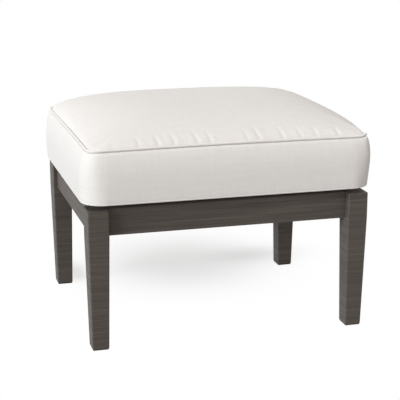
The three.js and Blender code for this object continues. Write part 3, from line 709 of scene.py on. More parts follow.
def set_pieces(tree, start, points, rotation):
    piece = add_node(tree, "GeometryNodeObjectInfo", {0: start["Piece"]}).outputs["Geometry"]
    return output(tree, "GeometryNodeInstanceOnPoints", {
        "Points": points, "Instance": piece, "Rotation": rotation})


def drawn_turn(tree, start, least, most):
    return add_node(tree, "FunctionNodeRandomValue", {2: least, 3: most, "Seed": start["Seed"]},
                    data_type="FLOAT").outputs[1]


def repeat_tree():
    """Repeats a piece along lines at an even pitch, its X axis along the line."""
    tree, start, end = new_tree("repeat_along_line", [
        ("Piece", "NodeSocketObject", None), number_input("Pitch", 0.003),
        number_input("Uneven turn", 0.0), ("Seed", "NodeSocketInt", 1)])
    even = output(tree, "GeometryNodeResampleCurve", {
        "Curve": line_in(tree, start, False), "Length": start["Pitch"]}, mode="LENGTH")
    along = output(tree, "GeometryNodeInputTangent")
    aimed = output(tree, "FunctionNodeAlignRotationToVector", {"Vector": along}, axis="X")
    widest = start["Uneven turn"]
    turn = drawn_turn(tree, start, calc(tree, "MULTIPLY", widest, -1.0), widest)
    turned = output(tree, "FunctionNodeRotateRotation", {
        0: aimed, 1: combine(tree, y=turn, z=turn)}, rotation_space="LOCAL")
    return finish_tree(tree, start, end, set_pieces(tree, start, even, turned))


def scatter_tree():
    """Sets a piece on each point, turned about the upright by a fixed draw."""
    tree, start, end = new_tree("piece_on_points", [
        ("Piece", "NodeSocketObject", None), ("Seed", "NodeSocketInt", 1)])
    spin = combine(tree, z=drawn_turn(tree, start, 0.0, 2 * math.pi))
    return finish_tree(tree, start, end, set_pieces(tree, start, start["Geometry"], spin))


def grow(name, mesh, tree, inputs):
    """Runs a tree on a mesh and leaves its result as a plain mesh."""
    made = new_object(name, mesh)
    modifier = made.modifiers.new("grow", "NODES")
    modifier.node_group = tree
    for item in tree.interface.items_tree:
        if item.item_type == "SOCKET" and item.in_out == "INPUT" and item.name in inputs:
            modifier[item.identifier] = inputs[item.name]
    return finished_mesh(made)


def grow_copies(name, mesh, tree, piece, inputs):
    """Grows copies of a piece, which isn't kept itself."""
    shown = new_object(piece.name, piece)
    made = grow(name, mesh, tree, {"Piece": shown, **inputs})
    bpy.data.objects.remove(shown)
    return made


def ride_on(made, body, replaced=()):
    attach(made, body)
    if replaced:
        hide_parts(*replaced)
    return made


# Frame


# Points nearer than this are joined, and edges sharper than this are rounded.
JOINED = 1e-6
SHARP_EDGE = math.radians(40)


def dress(names, material, edge_round):
    """Gives frame nodes their material and a fine rounding of their edges."""
    for name in names:
        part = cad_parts[name]
        part.data.materials.clear()
        part.data.materials.append(material)
        weld = part.modifiers.new("join_faces", "WELD")
        weld.merge_threshold = JOINED
        bevel = part.modifiers.new("fine_edges", "BEVEL")
        bevel.width = edge_round
        bevel.segments = 2
        bevel.limit_method = "ANGLE"
        bevel.angle_limit = SHARP_EDGE


def nodes_named(start):
    return sorted(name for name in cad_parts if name.startswith(start))


class OTTOMAN_OT_frame(bpy.types.Operator):
    """Finish the legs, rails, ledgers, clamp bars and glides"""

    bl_idname = "ottoman.frame"
    bl_label = "Finish the frame"

    def execute(self, context):
        finish = context.scene.ottoman_finish
        long_coat = coat_material("driftwood_coat_long", finish, ALONG_X)
        short_coat = coat_material("driftwood_coat_short", finish, ALONG_Y)
        dress(["rail_front", "rail_back", *nodes_named("leg_")], long_coat, finish.leg_round)
        dress(["rail_left", "rail_right"], short_coat, finish.leg_round)
        # The ledgers and clamp bars are painted lighter along their sharp edges: a painted
        # highlight.
        ledger = speckled_material("ledger_coat", shade(finish.coat_dark, 0.8),
                                   finish.coat_light, scale=700.0, roughness=0.55,
                                   bump=0.00004, edge_highlight=2.0)
        dress([*nodes_named("ledger_"), *nodes_named("clamp_bar_")], ledger, finish.edge_round)
        nylon = speckled_material("glide_nylon", finish.nylon, shade(finish.nylon, 2.2),
                                  scale=900.0, roughness=0.62, bump=0.00005)
        dress(nodes_named("glide_"), nylon, finish.edge_round)
        return {"FINISHED"}


# Webbing deck

STRAP_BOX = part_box("strap_depth_1")
STRAP_WIDTH = STRAP_BOX[1].x - STRAP_BOX[0].x
SOLID_STRAP = 0.002
STRAP_GAP = 0.0003
EASE_STEPS = 6


def ease(share):
    return (1 - np.cos(np.pi * np.clip(share, 0, 1))) / 2


def strap_line(crossings, level, rise, first_over, reach, end_level, sizes):
    """Heights along a strap that passes over and under those that cross it."""
    half = STRAP_WIDTH / 2 + sizes.margin
    knots = [(-reach, end_level), (-reach + sizes.ledge, end_level)]
    for index, place in enumerate(crossings):
        over = (index % 2 == 0) == first_over
        height = level + (rise if over else -rise)
        knots += [(place - half, height), (place + half, height)]
    knots += [(reach - sizes.ledge, end_level), (reach, end_level)]
    line = []
    for (s0, z0), (s1, z1) in zip(knots, knots[1:]):
        for share in (step / EASE_STEPS for step in range(EASE_STEPS)):
            line.append((s0 + (s1 - s0) * share, z0 + (z1 - z0) * ease(share)))
    return [*line, knots[-1]]


class OTTOMAN_OT_webbing(bpy.types.Operator):
    """Weave the deck of webbing straps"""

    bl_idname = "ottoman.webbing"
    bl_label = "Weave the webbing"

    def execute(self, context):
        sizes = context.scene.ottoman_deck
        material = ribbed_material("webbing", sizes.webbing, sizes.rib, groove_shade=0.55)
        tree = strap_tree()
        rise = (SOLID_STRAP + STRAP_GAP) / 2
        level = STRAP_BOX[1].z - SOLID_STRAP / 2 - rise
        end_level = STRAP_BOX[0].z + SOLID_STRAP / 2
        names = {way: nodes_named(f"strap_{way}_") for way in ("depth", "width")}
        middles = {name: (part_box(name)[0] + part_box(name)[1]) / 2
                   for way in names.values() for name in way}
        for way, crossed, axis in (("depth", "width", 1), ("width", "depth", 0)):
            crossings = [middles[name][axis] for name in names[crossed]]
            for index, name in enumerate(names[way]):
                middle, reach = middles[name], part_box(name)[1][axis]
                line = strap_line(crossings, level, rise, index % 2 != axis, reach, end_level,
                                  sizes)
                points = [(middle.x, s, z) if axis else (s, middle.y, z) for s, z in line]
                label = f"webbing_{way}_{index + 1}"
                strap = grow(label, polylines(label, [points]), tree, {
                    "Width": STRAP_WIDTH, "Thickness": sizes.thickness, "Material": material})
                ride_on(strap, "frame", [name])
        return {"FINISHED"}


def clamp_screw(sizes, height):
    """A pan head screw, its tip down and its head's top at Z = 0, with a hexagon socket."""
    head, shank, rise = sizes.head_radius, sizes.shank_radius, sizes.head_height
    socket, depth = head * 0.48, rise * 0.6
    profile = [(0, -height), (shank * 0.5, -height), (shank, -height + shank),
               (shank, -rise), (head * 0.94, -rise), (head, -rise * 0.86), (head, -rise * 0.5),
               (head * 0.93, -rise * 0.22), (head * 0.78, -rise * 0.05), (socket * 1.2, 0),
               (socket, 0), (socket, -depth), (0, -depth)]
    first_hexagon = len(profile) - 4

    def hexagon(ring, angle):
        if ring < first_hexagon:
            return 1.0
        turn = angle % math.radians(60) - math.radians(30)
        return math.cos(math.radians(30)) / math.cos(turn)

    return lathe("clamp_screw", profile, sides=24, shape=hexagon)


class OTTOMAN_OT_screws(bpy.types.Operator):
    """Set the clamp screws that hold the ends of the webbing"""

    bl_idname = "ottoman.screws"
    bl_label = "Set the clamp screws"

    def execute(self, context):
        names = nodes_named("clamp_screw_")
        boxes = [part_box(name) for name in names]
        places = [((low.x + high.x) / 2, (low.y + high.y) / 2, high.z) for low, high in boxes]
        piece = clamp_screw(context.scene.ottoman_deck, boxes[0][1].z - boxes[0][0].z)
        material = brushed_material("screw_steel", context.scene.ottoman_finish.steel,
                                    roughness=0.32)
        screws = grow_copies("clamp_screws", mesh_from("clamp_screws", places, []),
                             scatter_tree(), piece, {"Seed": 3, "Material": material})
        ride_on(screws, "frame", names)
        return {"FINISHED"}


# Cushion: its two seams, and the cloth between them

# Distances of the first grid lines from a seam, over the crown and down the boxing.
EDGE_LINES = (0.0, 0.0012, 0.0028, 0.005, 0.0085)
BOXING_LINES = (0.0008, 0.0016, 0.0025, 0.0036, 0.0052, 0.009)
BOXING_CELL = 0.0075

# How far the piping stands up where it turns a corner, for each side and end.
CORNER_LIFTS = ((1, -1, 0.0055), (-1, 1, 0.0045), (1, 1, 0.004))
LIFT_REACH = 0.009

# The crown beside its seam, where it is drawn in and has a crease, and how its left eases.
TUCK_REACH = 0.0044
CREASE, CREASE_PLACE, CREASE_WIDTH = 0.0015, 0.0029, 0.0012
LEFT_EASE_START, LEFT_EASE_SPAN = 0.7, 1.2
# Power with which the top's grid nears the round corners of its seam.
CORNER_PULL = 6

# The boxing: its bulge, the tuck under the top seam, and the lip over the bottom one.
BULGE_FULLNESS = 0.56
TUCK_PLACE, TUCK_WIDTH = 0.0026, 0.001
LIP, LIP_FOLD, LIP_REACH = 0.0015, 0.0009, 0.02

# The boxing's back: how the zip's profile and the recess end, along it and up it.
ZIP_BLEND = 0.046
ZIP_EDGE = 0.004
RECESS_FADE = 6
# The boxing counts as its straight back where its normal points this much backwards.
STRAIGHT_BACK = 0.999

# How far in the underside is at each share of its height over the deck.
ROLL = ((0.004, 0.97), (0.014, 0.93), (0.026, 0.84), (0.034, 0.64), (0.0385, 0.34), (0.0412, 0.08),
        (0.0425, 0.0), (0.0445, 0.0), (0.05, 0.0))
ROLL_CORNER = 0.012
UNDER_SHARES = (0.86, 0.62, 0.34)


def bell(value, middle, width):
    """1 at the middle, falling to nothing on both sides."""
    return np.exp(-(((value - middle) / width) ** 2))


def level_ring(outline, z):
    return np.column_stack([outline, np.full(len(outline), z)])


def grid_lines(half, cell):
    """Places of grid lines from -1 to 1, closer together beside the seams."""
    middle = half - EDGE_LINES[-1]
    count = round(2 * middle / cell / 4) * 4
    edge = half - np.array(EDGE_LINES[:-1])
    return np.concatenate([-edge, np.linspace(-middle, middle, count + 1), edge[::-1]]) / half


def seam_outline(square, half, corner):
    """Points and outward normals of a rounded rectangle, each on the ray to its square place."""
    ray = square * half
    corner = np.broadcast_to(corner, len(square))[:, None]
    inner = half - corner
    size = np.abs(ray)
    a = (size ** 2).sum(1)
    b = (size * inner).sum(1)
    beyond = (inner ** 2).sum(1) - corner[:, 0] ** 2
    root = np.sqrt(np.maximum(b * b - a * beyond, 0))
    on_arc = ((b + root) / a)[:, None] * size
    round_part = (on_arc >= inner).all(1)[:, None]
    point = np.where(round_part, on_arc, size)
    flat_normal = np.abs(square) >= 1 - 1e-9
    normal = np.where(round_part, (point - inner) / corner, flat_normal)
    return point * np.sign(ray), normal * np.where(ray < 0, -1, 1)


def rim_indexes(nx, ny):
    """Grid places round the rim, from the front left corner: whole numbers in X, and in Y."""
    front, right = [(i, 0) for i in range(nx)], [(nx, j) for j in range(ny)]
    back, left = [(nx - i, ny) for i in range(nx)], [(0, ny - j) for j in range(ny)]
    return tuple(np.array(front + right + back + left).T)


def seam_height(u, v):
    """The top seam rises a little towards the middle of each side, and at its corners."""
    bow = u * u * (1 - v * v) + v * v * (1 - u * u)
    height = SEAM_LOW + (SEAM_HIGH - SEAM_LOW) * bow
    for side, end, lift in CORNER_LIFTS:
        away = (1 - side * u) * TOP_HALF[0] + (1 - end * v) * TOP_HALF[1]
        height = height + lift * np.exp(-away / LIFT_REACH)
    return height


def back_line(height):
    """Where the straight line between the seams lies at the back, at a share of the boxing."""
    return BOTTOM_HALF[1] + (TOP_HALF[1] - BOTTOM_HALF[1]) * height


def tape_face(sizes):
    return TAPE_BOX[0].y + sizes.tape_thickness


def zip_half_length(sizes):
    return TAPE_BOX[1].x + sizes.gap


def zip_offset(height, sizes):
    """How far the cloth over the zip stands out from the line between the seams."""
    face = tape_face(sizes) + sizes.gap + sizes.cover
    tape_share = TAPE_HALF / BOXING_HEIGHT
    past = np.clip((np.abs(height - 0.5) - tape_share) / (0.5 - tape_share), 0, 1)
    seam = np.where(height < 0.5, BOTTOM_HALF[1], TOP_HALF[1])
    return face + (seam - face) * past + sizes.puff * np.sin(np.pi * past) - back_line(height)


def zip_shares(points, normals, sizes):
    """Shares of the zip's flatter profile, and of the recess behind it, round the cushion."""
    from_end = np.abs(points[:, 0]) - zip_half_length(sizes)
    on_back = normals[:, 1] > STRAIGHT_BACK
    profile = np.where(on_back, 1 - ease(from_end / ZIP_BLEND), 0)
    recess = np.where(on_back, 1 - ease((from_end - ZIP_EDGE) / ZIP_EDGE), 0)
    return profile, recess


class CushionShape:
    """The cover's grid: its points, faces, places on the cloth, and which points are held."""

    def __init__(self, sizes, zip_sizes):
        self.sizes, self.zip_sizes = sizes, zip_sizes
        self.lines = [grid_lines(half, sizes.cell) for half in TOP_HALF]
        self.rim = rim_indexes(*(len(lines) - 1 for lines in self.lines))
        self.square = np.column_stack([line[at] for line, at in zip(self.lines, self.rim)])
        self.top, _ = seam_outline(self.square, TOP_HALF, self.top_corners(self.square))
        self.bottom, self.normals = seam_outline(self.square, BOTTOM_HALF, sizes.bottom_corner)
        self.count = len(self.top)
        steps = np.linalg.norm(np.roll(self.bottom, -1, 0) - self.bottom, axis=1)
        self.arc = np.concatenate([[0], np.cumsum(steps)])
        self.points, self.faces, self.places, self.held = [], [], [], []

    def add(self, points, held):
        start = len(self.points)
        self.points.extend(points)
        self.held.extend(np.broadcast_to(held, len(points)))
        return np.arange(start, start + len(points))

    def top_corners(self, square):
        front_left = (square < 0).all(1)
        return np.where(front_left, self.sizes.front_left_corner, self.sizes.top_corner)

    def seam_points(self):
        return np.column_stack([self.top, seam_height(*self.square.T)])

    def crown(self, u, v):
        """Height of the crown over its seam, drawn in beside the piping."""
        sizes = self.sizes
        eased = np.where(u < 0, sizes.left_ease, 0) * ease((LEFT_EASE_START - v) / LEFT_EASE_SPAN)
        fall = []
        for place, near, far, more in ((u, sizes.crown_left, sizes.crown_right, eased),
                                       (v, sizes.crown_front, sizes.crown_back, 0)):
            power, fullness = (np.where(place < 0, a, b) for a, b in zip(near, far))
            fall.append(np.clip(1 - np.abs(place) ** power, 1e-9, 1) ** (fullness + more))
        side, depth = (part ** sizes.corner_fill for part in fall)
        both = fall[0] * fall[1] / (side + depth - side * depth) ** (1 / sizes.corner_fill)
        inward = np.minimum((1 - np.abs(u)) * TOP_HALF[0], (1 - np.abs(v)) * TOP_HALF[1])
        tucked = 1 - np.exp(-((inward / TUCK_REACH) ** 3))
        crease = CREASE * bell(inward, CREASE_PLACE, CREASE_WIDTH)
        return (CROWN_TOP - SEAM_LOW) * both * tucked - crease

    def add_top(self):
        """Adds the top panel, whose grid nears the seam's round corners. Returns its rim."""
        u, v = np.meshgrid(*self.lines, indexing="ij")
        share = np.maximum(np.maximum(np.abs(u), np.abs(v)), 1e-9)
        square = np.stack([u / share, v / share], -1).reshape(-1, 2)
        outline, _ = seam_outline(square, TOP_HALF, self.top_corners(square))
        pull = (share ** CORNER_PULL).reshape(-1, 1)
        plan = (square * TOP_HALF * (1 - pull) + outline * pull) * share.reshape(-1, 1)
        z = (seam_height(u, v) + self.crown(u, v)).reshape(-1, 1)
        held = np.zeros(u.shape)
        held[self.rim] = 1
        index = self.add(np.hstack([plan, z]), held.ravel()).reshape(u.shape)
        flat = np.stack([u * TOP_HALF[0], v * TOP_HALF[1]], 2)
        for i, j in np.ndindex(u.shape[0] - 1, u.shape[1] - 1):
            corners = ((i, j), (i + 1, j), (i + 1, j + 1), (i, j + 1))
            self.faces.append([index[c] for c in corners])
            self.places.append([flat[c] for c in corners])
        return index[self.rim]

    def boxing_ring(self, height):
        """Points of the boxing at a share of its height, and how firmly the zip holds them."""
        sizes = self.sizes
        seam, base = self.seam_points(), level_ring(self.bottom, BOTTOM_SEAM)
        profile, recess = zip_shares(self.bottom, self.normals, self.zip_sizes)
        under_top, over_bottom = BOXING_HEIGHT * (1 - height), BOXING_HEIGHT * height
        leaning = height ** (math.log(0.5) / math.log(sizes.bulge_height))
        plain = sizes.bulge * abs(math.sin(math.pi * leaning)) ** BULGE_FULLNESS
        offset = plain + (zip_offset(height, self.zip_sizes) - plain) * profile
        fading = min(1.0, RECESS_FADE * min(height, 1 - height))
        offset = offset - self.zip_sizes.recess * recess * fading
        offset = offset - sizes.tuck * bell(under_top, TUCK_PLACE, TUCK_WIDTH)
        lip = (1 - math.exp(-over_bottom / LIP_FOLD)) * bell(over_bottom, 0, LIP_REACH)
        offset = offset + LIP * lip * (1 - profile)
        ring = base + (seam - base) * height
        ring[:, :2] += self.normals * offset[:, None]
        return ring, profile

    def join_rings(self, upper, lower, upper_place, lower_place):
        for k in range(self.count):
            j = (k + 1) % self.count
            at, past = self.arc[k], self.arc[k + 1]
            self.faces.append([upper[j], upper[k], lower[k], lower[j]])
            self.places.append([(past, upper_place), (at, upper_place),
                                (at, lower_place), (past, lower_place)])

    def add_sides(self, seam):
        """Adds the boxing and the roll under it. Returns the bottom seam and the last ring."""
        upper, place = seam, SEAM_LOW
        near = np.array(BOXING_LINES) / BOXING_HEIGHT
        middle = np.linspace(near[-1], 1 - near[-1], round(BOXING_HEIGHT / BOXING_CELL))
        for down in [*near[:-1], *middle, *(1 - near[:-1][::-1]), 1.0]:
            height = 1 - down
            ring, profile = self.boxing_ring(height)
            lower = self.add(ring, 1.0 if min(height, down) < near[1] else profile)
            low_place = BOTTOM_SEAM + BOXING_HEIGHT * height
            self.join_rings(upper, lower, place, low_place)
            upper, place = lower, low_place
        bottom_seam = upper
        for inset, share in ROLL:
            corner = max(self.sizes.bottom_corner - inset, ROLL_CORNER)
            outline, _ = seam_outline(self.square, BOTTOM_HALF - inset, corner)
            z = REST_LEVEL + (BOTTOM_SEAM - REST_LEVEL) * share
            lower = self.add(level_ring(outline, z), 1.0)
            self.join_rings(upper, lower, place, place - inset)
            upper, place = lower, BOTTOM_SEAM - inset
        return bottom_seam, upper

    def add_under(self, rim):
        """Closes the flat underside with rings of half as many points each."""
        fine, outer = list(rim), np.array(self.points)[rim]
        for share in UNDER_SHARES:
            step = self.count // (len(fine) // 2)
            coarse = list(self.add(outer[::step] * (share, share, 1), 1.0))
            for k, here in enumerate(coarse):
                after = coarse[(k + 1) % len(coarse)]
                a, b, c = fine[2 * k], fine[2 * k + 1], fine[(2 * k + 2) % len(fine)]
                for face in ([a, here, b], [b, here, after], [b, after, c]):
                    self.add_flat(face)
            fine = coarse
        middle = self.add([(0.0, 0.0, REST_LEVEL)], 1.0)[0]
        for k, point in enumerate(fine):
            self.add_flat([point, middle, fine[(k + 1) % len(fine)]])

    def add_flat(self, face):
        self.faces.append(face)
        self.places.append([tuple(self.points[i][:2]) for i in face])

    def mesh(self, name):
        seam = self.add_top()
        bottom_seam, rim = self.add_sides(seam)
        self.add_under(rim)
        mesh = mesh_from(name, self.points, self.faces)
        cloth = mesh.uv_layers.new(name="cloth")
        cloth.data.foreach_set("uv", np.array([p for face in self.places for p in face]).ravel())
        crease_seams(mesh, [seam, bottom_seam])
        return smooth(mesh)


def crease_seams(mesh, rings):
    pairs = {frozenset(map(int, pair)) for ring in rings for pair in zip(ring, np.roll(ring, -1))}
    crease = mesh.attributes.new("crease_edge", "FLOAT", "EDGE")
    sharp = [1.0 if frozenset(edge.vertices) in pairs else 0.0 for edge in mesh.edges]
    crease.data.foreach_set("value", sharp)


# How the cloth gives when it is filled, and how much of that counts as its broad form.
CLOTH_SETTINGS = {
    "quality": 6, "mass": 0.3, "tension_stiffness": 15, "compression_stiffness": 15,
    "shear_stiffness": 5, "bending_stiffness": 0.6, "use_pressure": True,
    "vertex_group_shrink": "slack", "shrink_min": 0, "vertex_group_mass": "held",
}
SIMULATED_FRAMES = 20
BROAD_ROUNDS = 40
RELIEF_FADE = 0.006


def inflate(made, held, sizes):
    """Presses the filling against the cloth, and keeps the fine creases that this makes.

    The held points stay in place, and the broad form stays the one that it starts from."""
    before = coordinates(made.data)
    pinned = made.vertex_groups.new(name="held")
    for index, share in enumerate(held):
        if share > 0:
            pinned.add([index], float(share), "REPLACE")
    slack = made.vertex_groups.new(name="slack")
    slack.add([int(i) for i in np.nonzero(before[:, 2] > SEAM_HIGH)[0]], 1.0, "REPLACE")
    cloth = made.modifiers.new("cloth", "CLOTH")
    for name, value in CLOTH_SETTINGS.items():
        setattr(cloth.settings, name, value)
    cloth.settings.uniform_pressure_force = sizes.pressure
    cloth.settings.shrink_max = -sizes.slack
    cloth.settings.effector_weights.gravity = 0
    cloth.collision_settings.use_collision = False
    cloth.collision_settings.use_self_collision = False
    for step in range(1, SIMULATED_FRAMES + 1):
        bpy.context.scene.frame_set(step)
    moved = coordinates(shown_object(made).data) - before
    made.modifiers.clear()
    made.vertex_groups.clear()
    bpy.context.scene.frame_set(1)
    fine = moved - evened(made.data, moved, BROAD_ROUNDS)
    fade = ease((before[:, 2] - SEAM_HIGH) / RELIEF_FADE)[:, None]
    set_coordinates(made.data, before + fine * sizes.relief * fade)


def evened(mesh, values, rounds):
    """Values at the points of a mesh, each brought again and again to its neighbours' mean."""
    ends = np.zeros(len(mesh.edges) * 2, np.int32)
    mesh.edges.foreach_get("vertices", ends)
    first, second = ends[::2], ends[1::2]
    count = np.bincount(ends, minlength=len(mesh.vertices))[:, None]
    for _ in range(rounds):
        total = np.zeros_like(values)
        np.add.at(total, first, values[second])
        np.add.at(total, second, values[first])
        values = (values + total / count) / 2
    return values


def refine(made):
    finer = made.modifiers.new("finer", "SUBSURF")
    finer.levels = finer.render_levels = 1
    finished_mesh(made)
    smooth(made.data)


# Places along the front seam, measured from its middle, of the creases that the photo shows,
# each with its length and its strength as a share.
FRONT_PUCKERS = (
    (-0.246, 0.026, 0.6), (-0.193, 0.036, 1.1), (-0.153, 0.038, 1.2), (-0.1185, 0.042, 1.1),
    (-0.070, 0.044, 1.0), (-0.042, 0.040, 1.0), (0.038, 0.044, 0.8), (0.063, 0.050, 1.0),
    (0.115, 0.048, 0.95), (0.155, 0.040, 0.8), (0.190, 0.042, 0.9), (0.239, 0.034, 1.3),
)
PUCKER_MARGIN = 0.02
PUCKER_LEAN = -0.16
# Where creases can be over the seam, where they begin, and their fade as shares of their length.
PUCKER_LOWEST, PUCKER_FARTHEST = 0.001, 0.06
PUCKER_START, PUCKER_RISE = 0.002, 0.007
FADE_START, FADE_LENGTH = 0.35, 0.85
# The ridges on both sides of a crease: how far out they are, in its half widths, and how high.
RIDGE_PLACE, RIDGE_SHARE = 1.35, 0.55


def side_puckers(reach, rng):
    """Creases for a side that the photo doesn't show from near."""
    places, at = [], -reach + rng.uniform(0.02, 0.05)
    while at < reach - PUCKER_MARGIN:
        places.append((at, rng.uniform(0.026, 0.046), rng.uniform(0.3, 0.8)))
        at += rng.uniform(0.022, 0.07)
    return places


def pucker(mesh, sizes):
    """Presses short creases into the cloth beside the top seam."""
    points, normals = coordinates(mesh), point_values(mesh, "normal")
    rng = np.random.default_rng(sizes.seed)
    push = np.zeros(len(points))
    above = points[:, 2] - (SEAM_LOW + SEAM_HIGH) / 2
    for side in range(4):
        axis, out = side % 2, 1 - side % 2
        sign = -1 if side in (0, 3) else 1
        inward = TOP_HALF[out] - sign * points[:, out]
        folds = side_puckers(TOP_HALF[axis] - PUCKER_MARGIN, rng) if side else FRONT_PUCKERS
        from_seam = np.hypot(np.maximum(inward, 0), np.maximum(above, 0))
        near = (inward > 0) & (above > PUCKER_LOWEST) & (from_seam < PUCKER_FARTHEST)
        start = ease((from_seam - PUCKER_START) / PUCKER_RISE)
        for place, length, strength in folds:
            t = (points[:, axis] - place - PUCKER_LEAN * from_seam) / sizes.pucker_width
            ridges = bell(t, RIDGE_PLACE, 1) + bell(t, -RIDGE_PLACE, 1)
            cross = bell(t, 0, 1) - RIDGE_SHARE * ridges
            fade = 1 - ease((from_seam - FADE_START * length) / (FADE_LENGTH * length))
            push -= np.where(near, cross * start * fade * strength, 0) * sizes.pucker_depth
    set_coordinates(mesh, points + normals * push[:, None])


class OTTOMAN_OT_cushion(bpy.types.Operator):
    """Sew, fill and crease the loose cushion's cover"""

    bl_idname = "ottoman.cushion"
    bl_label = "Make the cushion"

    def execute(self, context):
        sizes = context.scene.ottoman_cushion
        shape = CushionShape(sizes, context.scene.ottoman_zip)
        material = cloth_material("cover_cloth", cloth_map, sizes)
        cover = new_object("cushion_cover", shape.mesh("cushion_cover"), material)
        inflate(cover, shape.held, sizes)
        refine(cover)
        pucker(cover.data, sizes)
        ride_on(cover, "cushion", [
            "foam_core", "crown_pad", "cover_top_panel", "cover_boxing", "cover_bottom_panel"])
        return {"FINISHED"}


class OTTOMAN_OT_piping(bpy.types.Operator):
    """Lay the piping along the cushion's two seams"""

    bl_idname = "ottoman.piping"
    bl_label = "Lay the piping"

    def execute(self, context):
        sizes = context.scene.ottoman_cushion
        shape = CushionShape(sizes, context.scene.ottoman_zip)
        material = cloth_material("piping_cloth", bias_place, sizes, slub_width=0.003)
        seams = {"top": shape.seam_points(), "bottom": level_ring(shape.bottom, BOTTOM_SEAM)}
        tree = piping_tree()
        for seed, (where, seam) in enumerate(seams.items()):
            label = f"cover_piping_{where}"
            cord = grow(label, polylines(label, [seam], closed=True), tree, {
                "Radius": PIPING_RADIUS, "Gather depth": 0.00022, "Gather length": 0.011,
                "Sides": 14, "Seed": seed, "Material": material})
            ride_on(cord, "cushion", [f"piping_{where}"])
        return {"FINISHED"}


# Zip

# Rows of stitches, measured from the fold of a placket, and how they draw its cloth in.
STITCH_ROWS = (0.0018, 0.0072)
STITCH_DENT, DENT_WIDTH = 0.00028, 0.0008
# The cloth of a placket: how much its folded edge stands out, and its ripples.
FOLD_LIFT, FOLD_FADE = 0.0004, 0.0015
RIPPLE, RIPPLE_REACH, RIPPLES, RIPPLE_DRIFT = 0.0003, 0.02, 95, 31
# Columns of the grids of a placket and of a tape, and the rows across them, from the fold.
PLACKET_COLUMNS, TAPE_COLUMNS, STITCH_COLUMNS = 120, 84, 60
PLACKET_ROWS = (0, 0.012, 0.03, 0.08, 0.14, 0.17, 0.19, *np.linspace(0.25, 1, 10))
TAPE_ROWS = 7
# How far a placket goes in under the piping.
UNDER_PIPING = PIPING_RADIUS * 0.6
# Half the slit between the halves of the tape, how far the coil's halves reach over each
# other, and how far one of its turns leans.
TAPE_SLIT = 0.0001
COIL_OVERLAP = 0.0002
COIL_LEAN = 0.00025
COIL_STEPS, WIRE_SIDES = 10, 5
# A stitch: the share of its spacing to each side, how it is divided, and its ends.
STITCH_HALF = 0.42
STITCH_STEPS, THREAD_SIDES = 6, 6
STITCH_END, STITCH_SPAN, STITCH_SINK = 0.12, 0.76, 0.6


def strip_solid(name, outer, inner):
    """A closed strip from two grids of points, rows across it and columns along it."""
    rows, columns = outer.shape[:2]
    points = np.concatenate([outer.reshape(-1, 3), inner.reshape(-1, 3)])
    index = np.arange(rows * columns).reshape(rows, columns)
    below = index + index.size
    faces = []
    for r, c in np.ndindex(rows - 1, columns - 1):
        faces.append([index[r, c], index[r, c + 1], index[r + 1, c + 1], index[r + 1, c]])
        faces.append([below[r, c], below[r + 1, c], below[r + 1, c + 1], below[r, c + 1]])
    rim = np.concatenate([index[0, :-1], index[:-1, -1], index[-1, :0:-1], index[:0:-1, 0]])
    faces += [[a, a + index.size, b + index.size, b] for a, b in zip(rim, np.roll(rim, -1))]
    return facing_out(mesh_from(name, points, faces))


def zip_surface(x, z, sizes, out):
    """Points of the cloth over the zip, pushed out by a distance."""
    height = (z - BOTTOM_SEAM) / BOXING_HEIGHT
    return np.stack([x, back_line(height) + zip_offset(height, sizes) + out, z], -1)


def flat_map(mesh):
    """Gives a strip on the back its place on the cloth, from X and Z."""
    cloth = mesh.uv_layers.new(name="cloth")
    loops = np.zeros(len(mesh.loops), np.int32)
    mesh.loops.foreach_get("vertex_index", loops)
    cloth.data.foreach_set("uv", coordinates(mesh)[loops][:, [0, 2]].ravel())


def placket(name, fold_z, seam_z, sizes):
    """One side of the zip's cover: a strip whose edge is folded back and stitched."""
    end = TAPE_BOX[1].x
    z = fold_z + (seam_z - fold_z) * np.array(PLACKET_ROWS)
    xs, zs = np.meshgrid(np.linspace(-end, end, PLACKET_COLUMNS), z)
    from_fold = np.abs(zs - fold_z)
    rounding = sizes.cover * 0.5 * np.exp(-from_fold / (0.5 * sizes.cover))
    stitched = sum(bell(from_fold, row, DENT_WIDTH) for row in STITCH_ROWS)
    folded = FOLD_LIFT * (1 - ease((from_fold - sizes.fold) / FOLD_FADE))
    waves = np.sin(xs * RIPPLES + 2 * np.sin(xs * RIPPLE_DRIFT))
    ripple = RIPPLE * waves * ease(from_fold / RIPPLE_REACH)
    out = folded - rounding - STITCH_DENT * stitched + ripple
    mesh = strip_solid(name, zip_surface(xs, zs, sizes, out),
                       zip_surface(xs, zs, sizes, -sizes.cover))
    flat_map(mesh)
    return smooth(mesh)


def coil_turn(sizes):
    """One turn of the coil: a flat oval ring, standing across the zip, drawn at the origin."""
    half_out = (TAPE_BOX[1].y - tape_face(sizes)) / 2 - sizes.wire
    half_up = sizes.coil_width / 4 + COIL_OVERLAP - sizes.wire
    rings = []
    for angle in turns(COIL_STEPS):
        out, up = math.cos(angle), math.sin(angle)
        centre = Vector((COIL_LEAN * up, half_out * out, half_up * up))
        ray, side = Vector((0, out, up)), Vector((1, 0, 0))
        rings.append([centre + sizes.wire * (ray * math.cos(turn) + side * math.sin(turn))
                      for turn in turns(WIRE_SIDES)])
    return ringed("coil_turn", rings, closed=True)


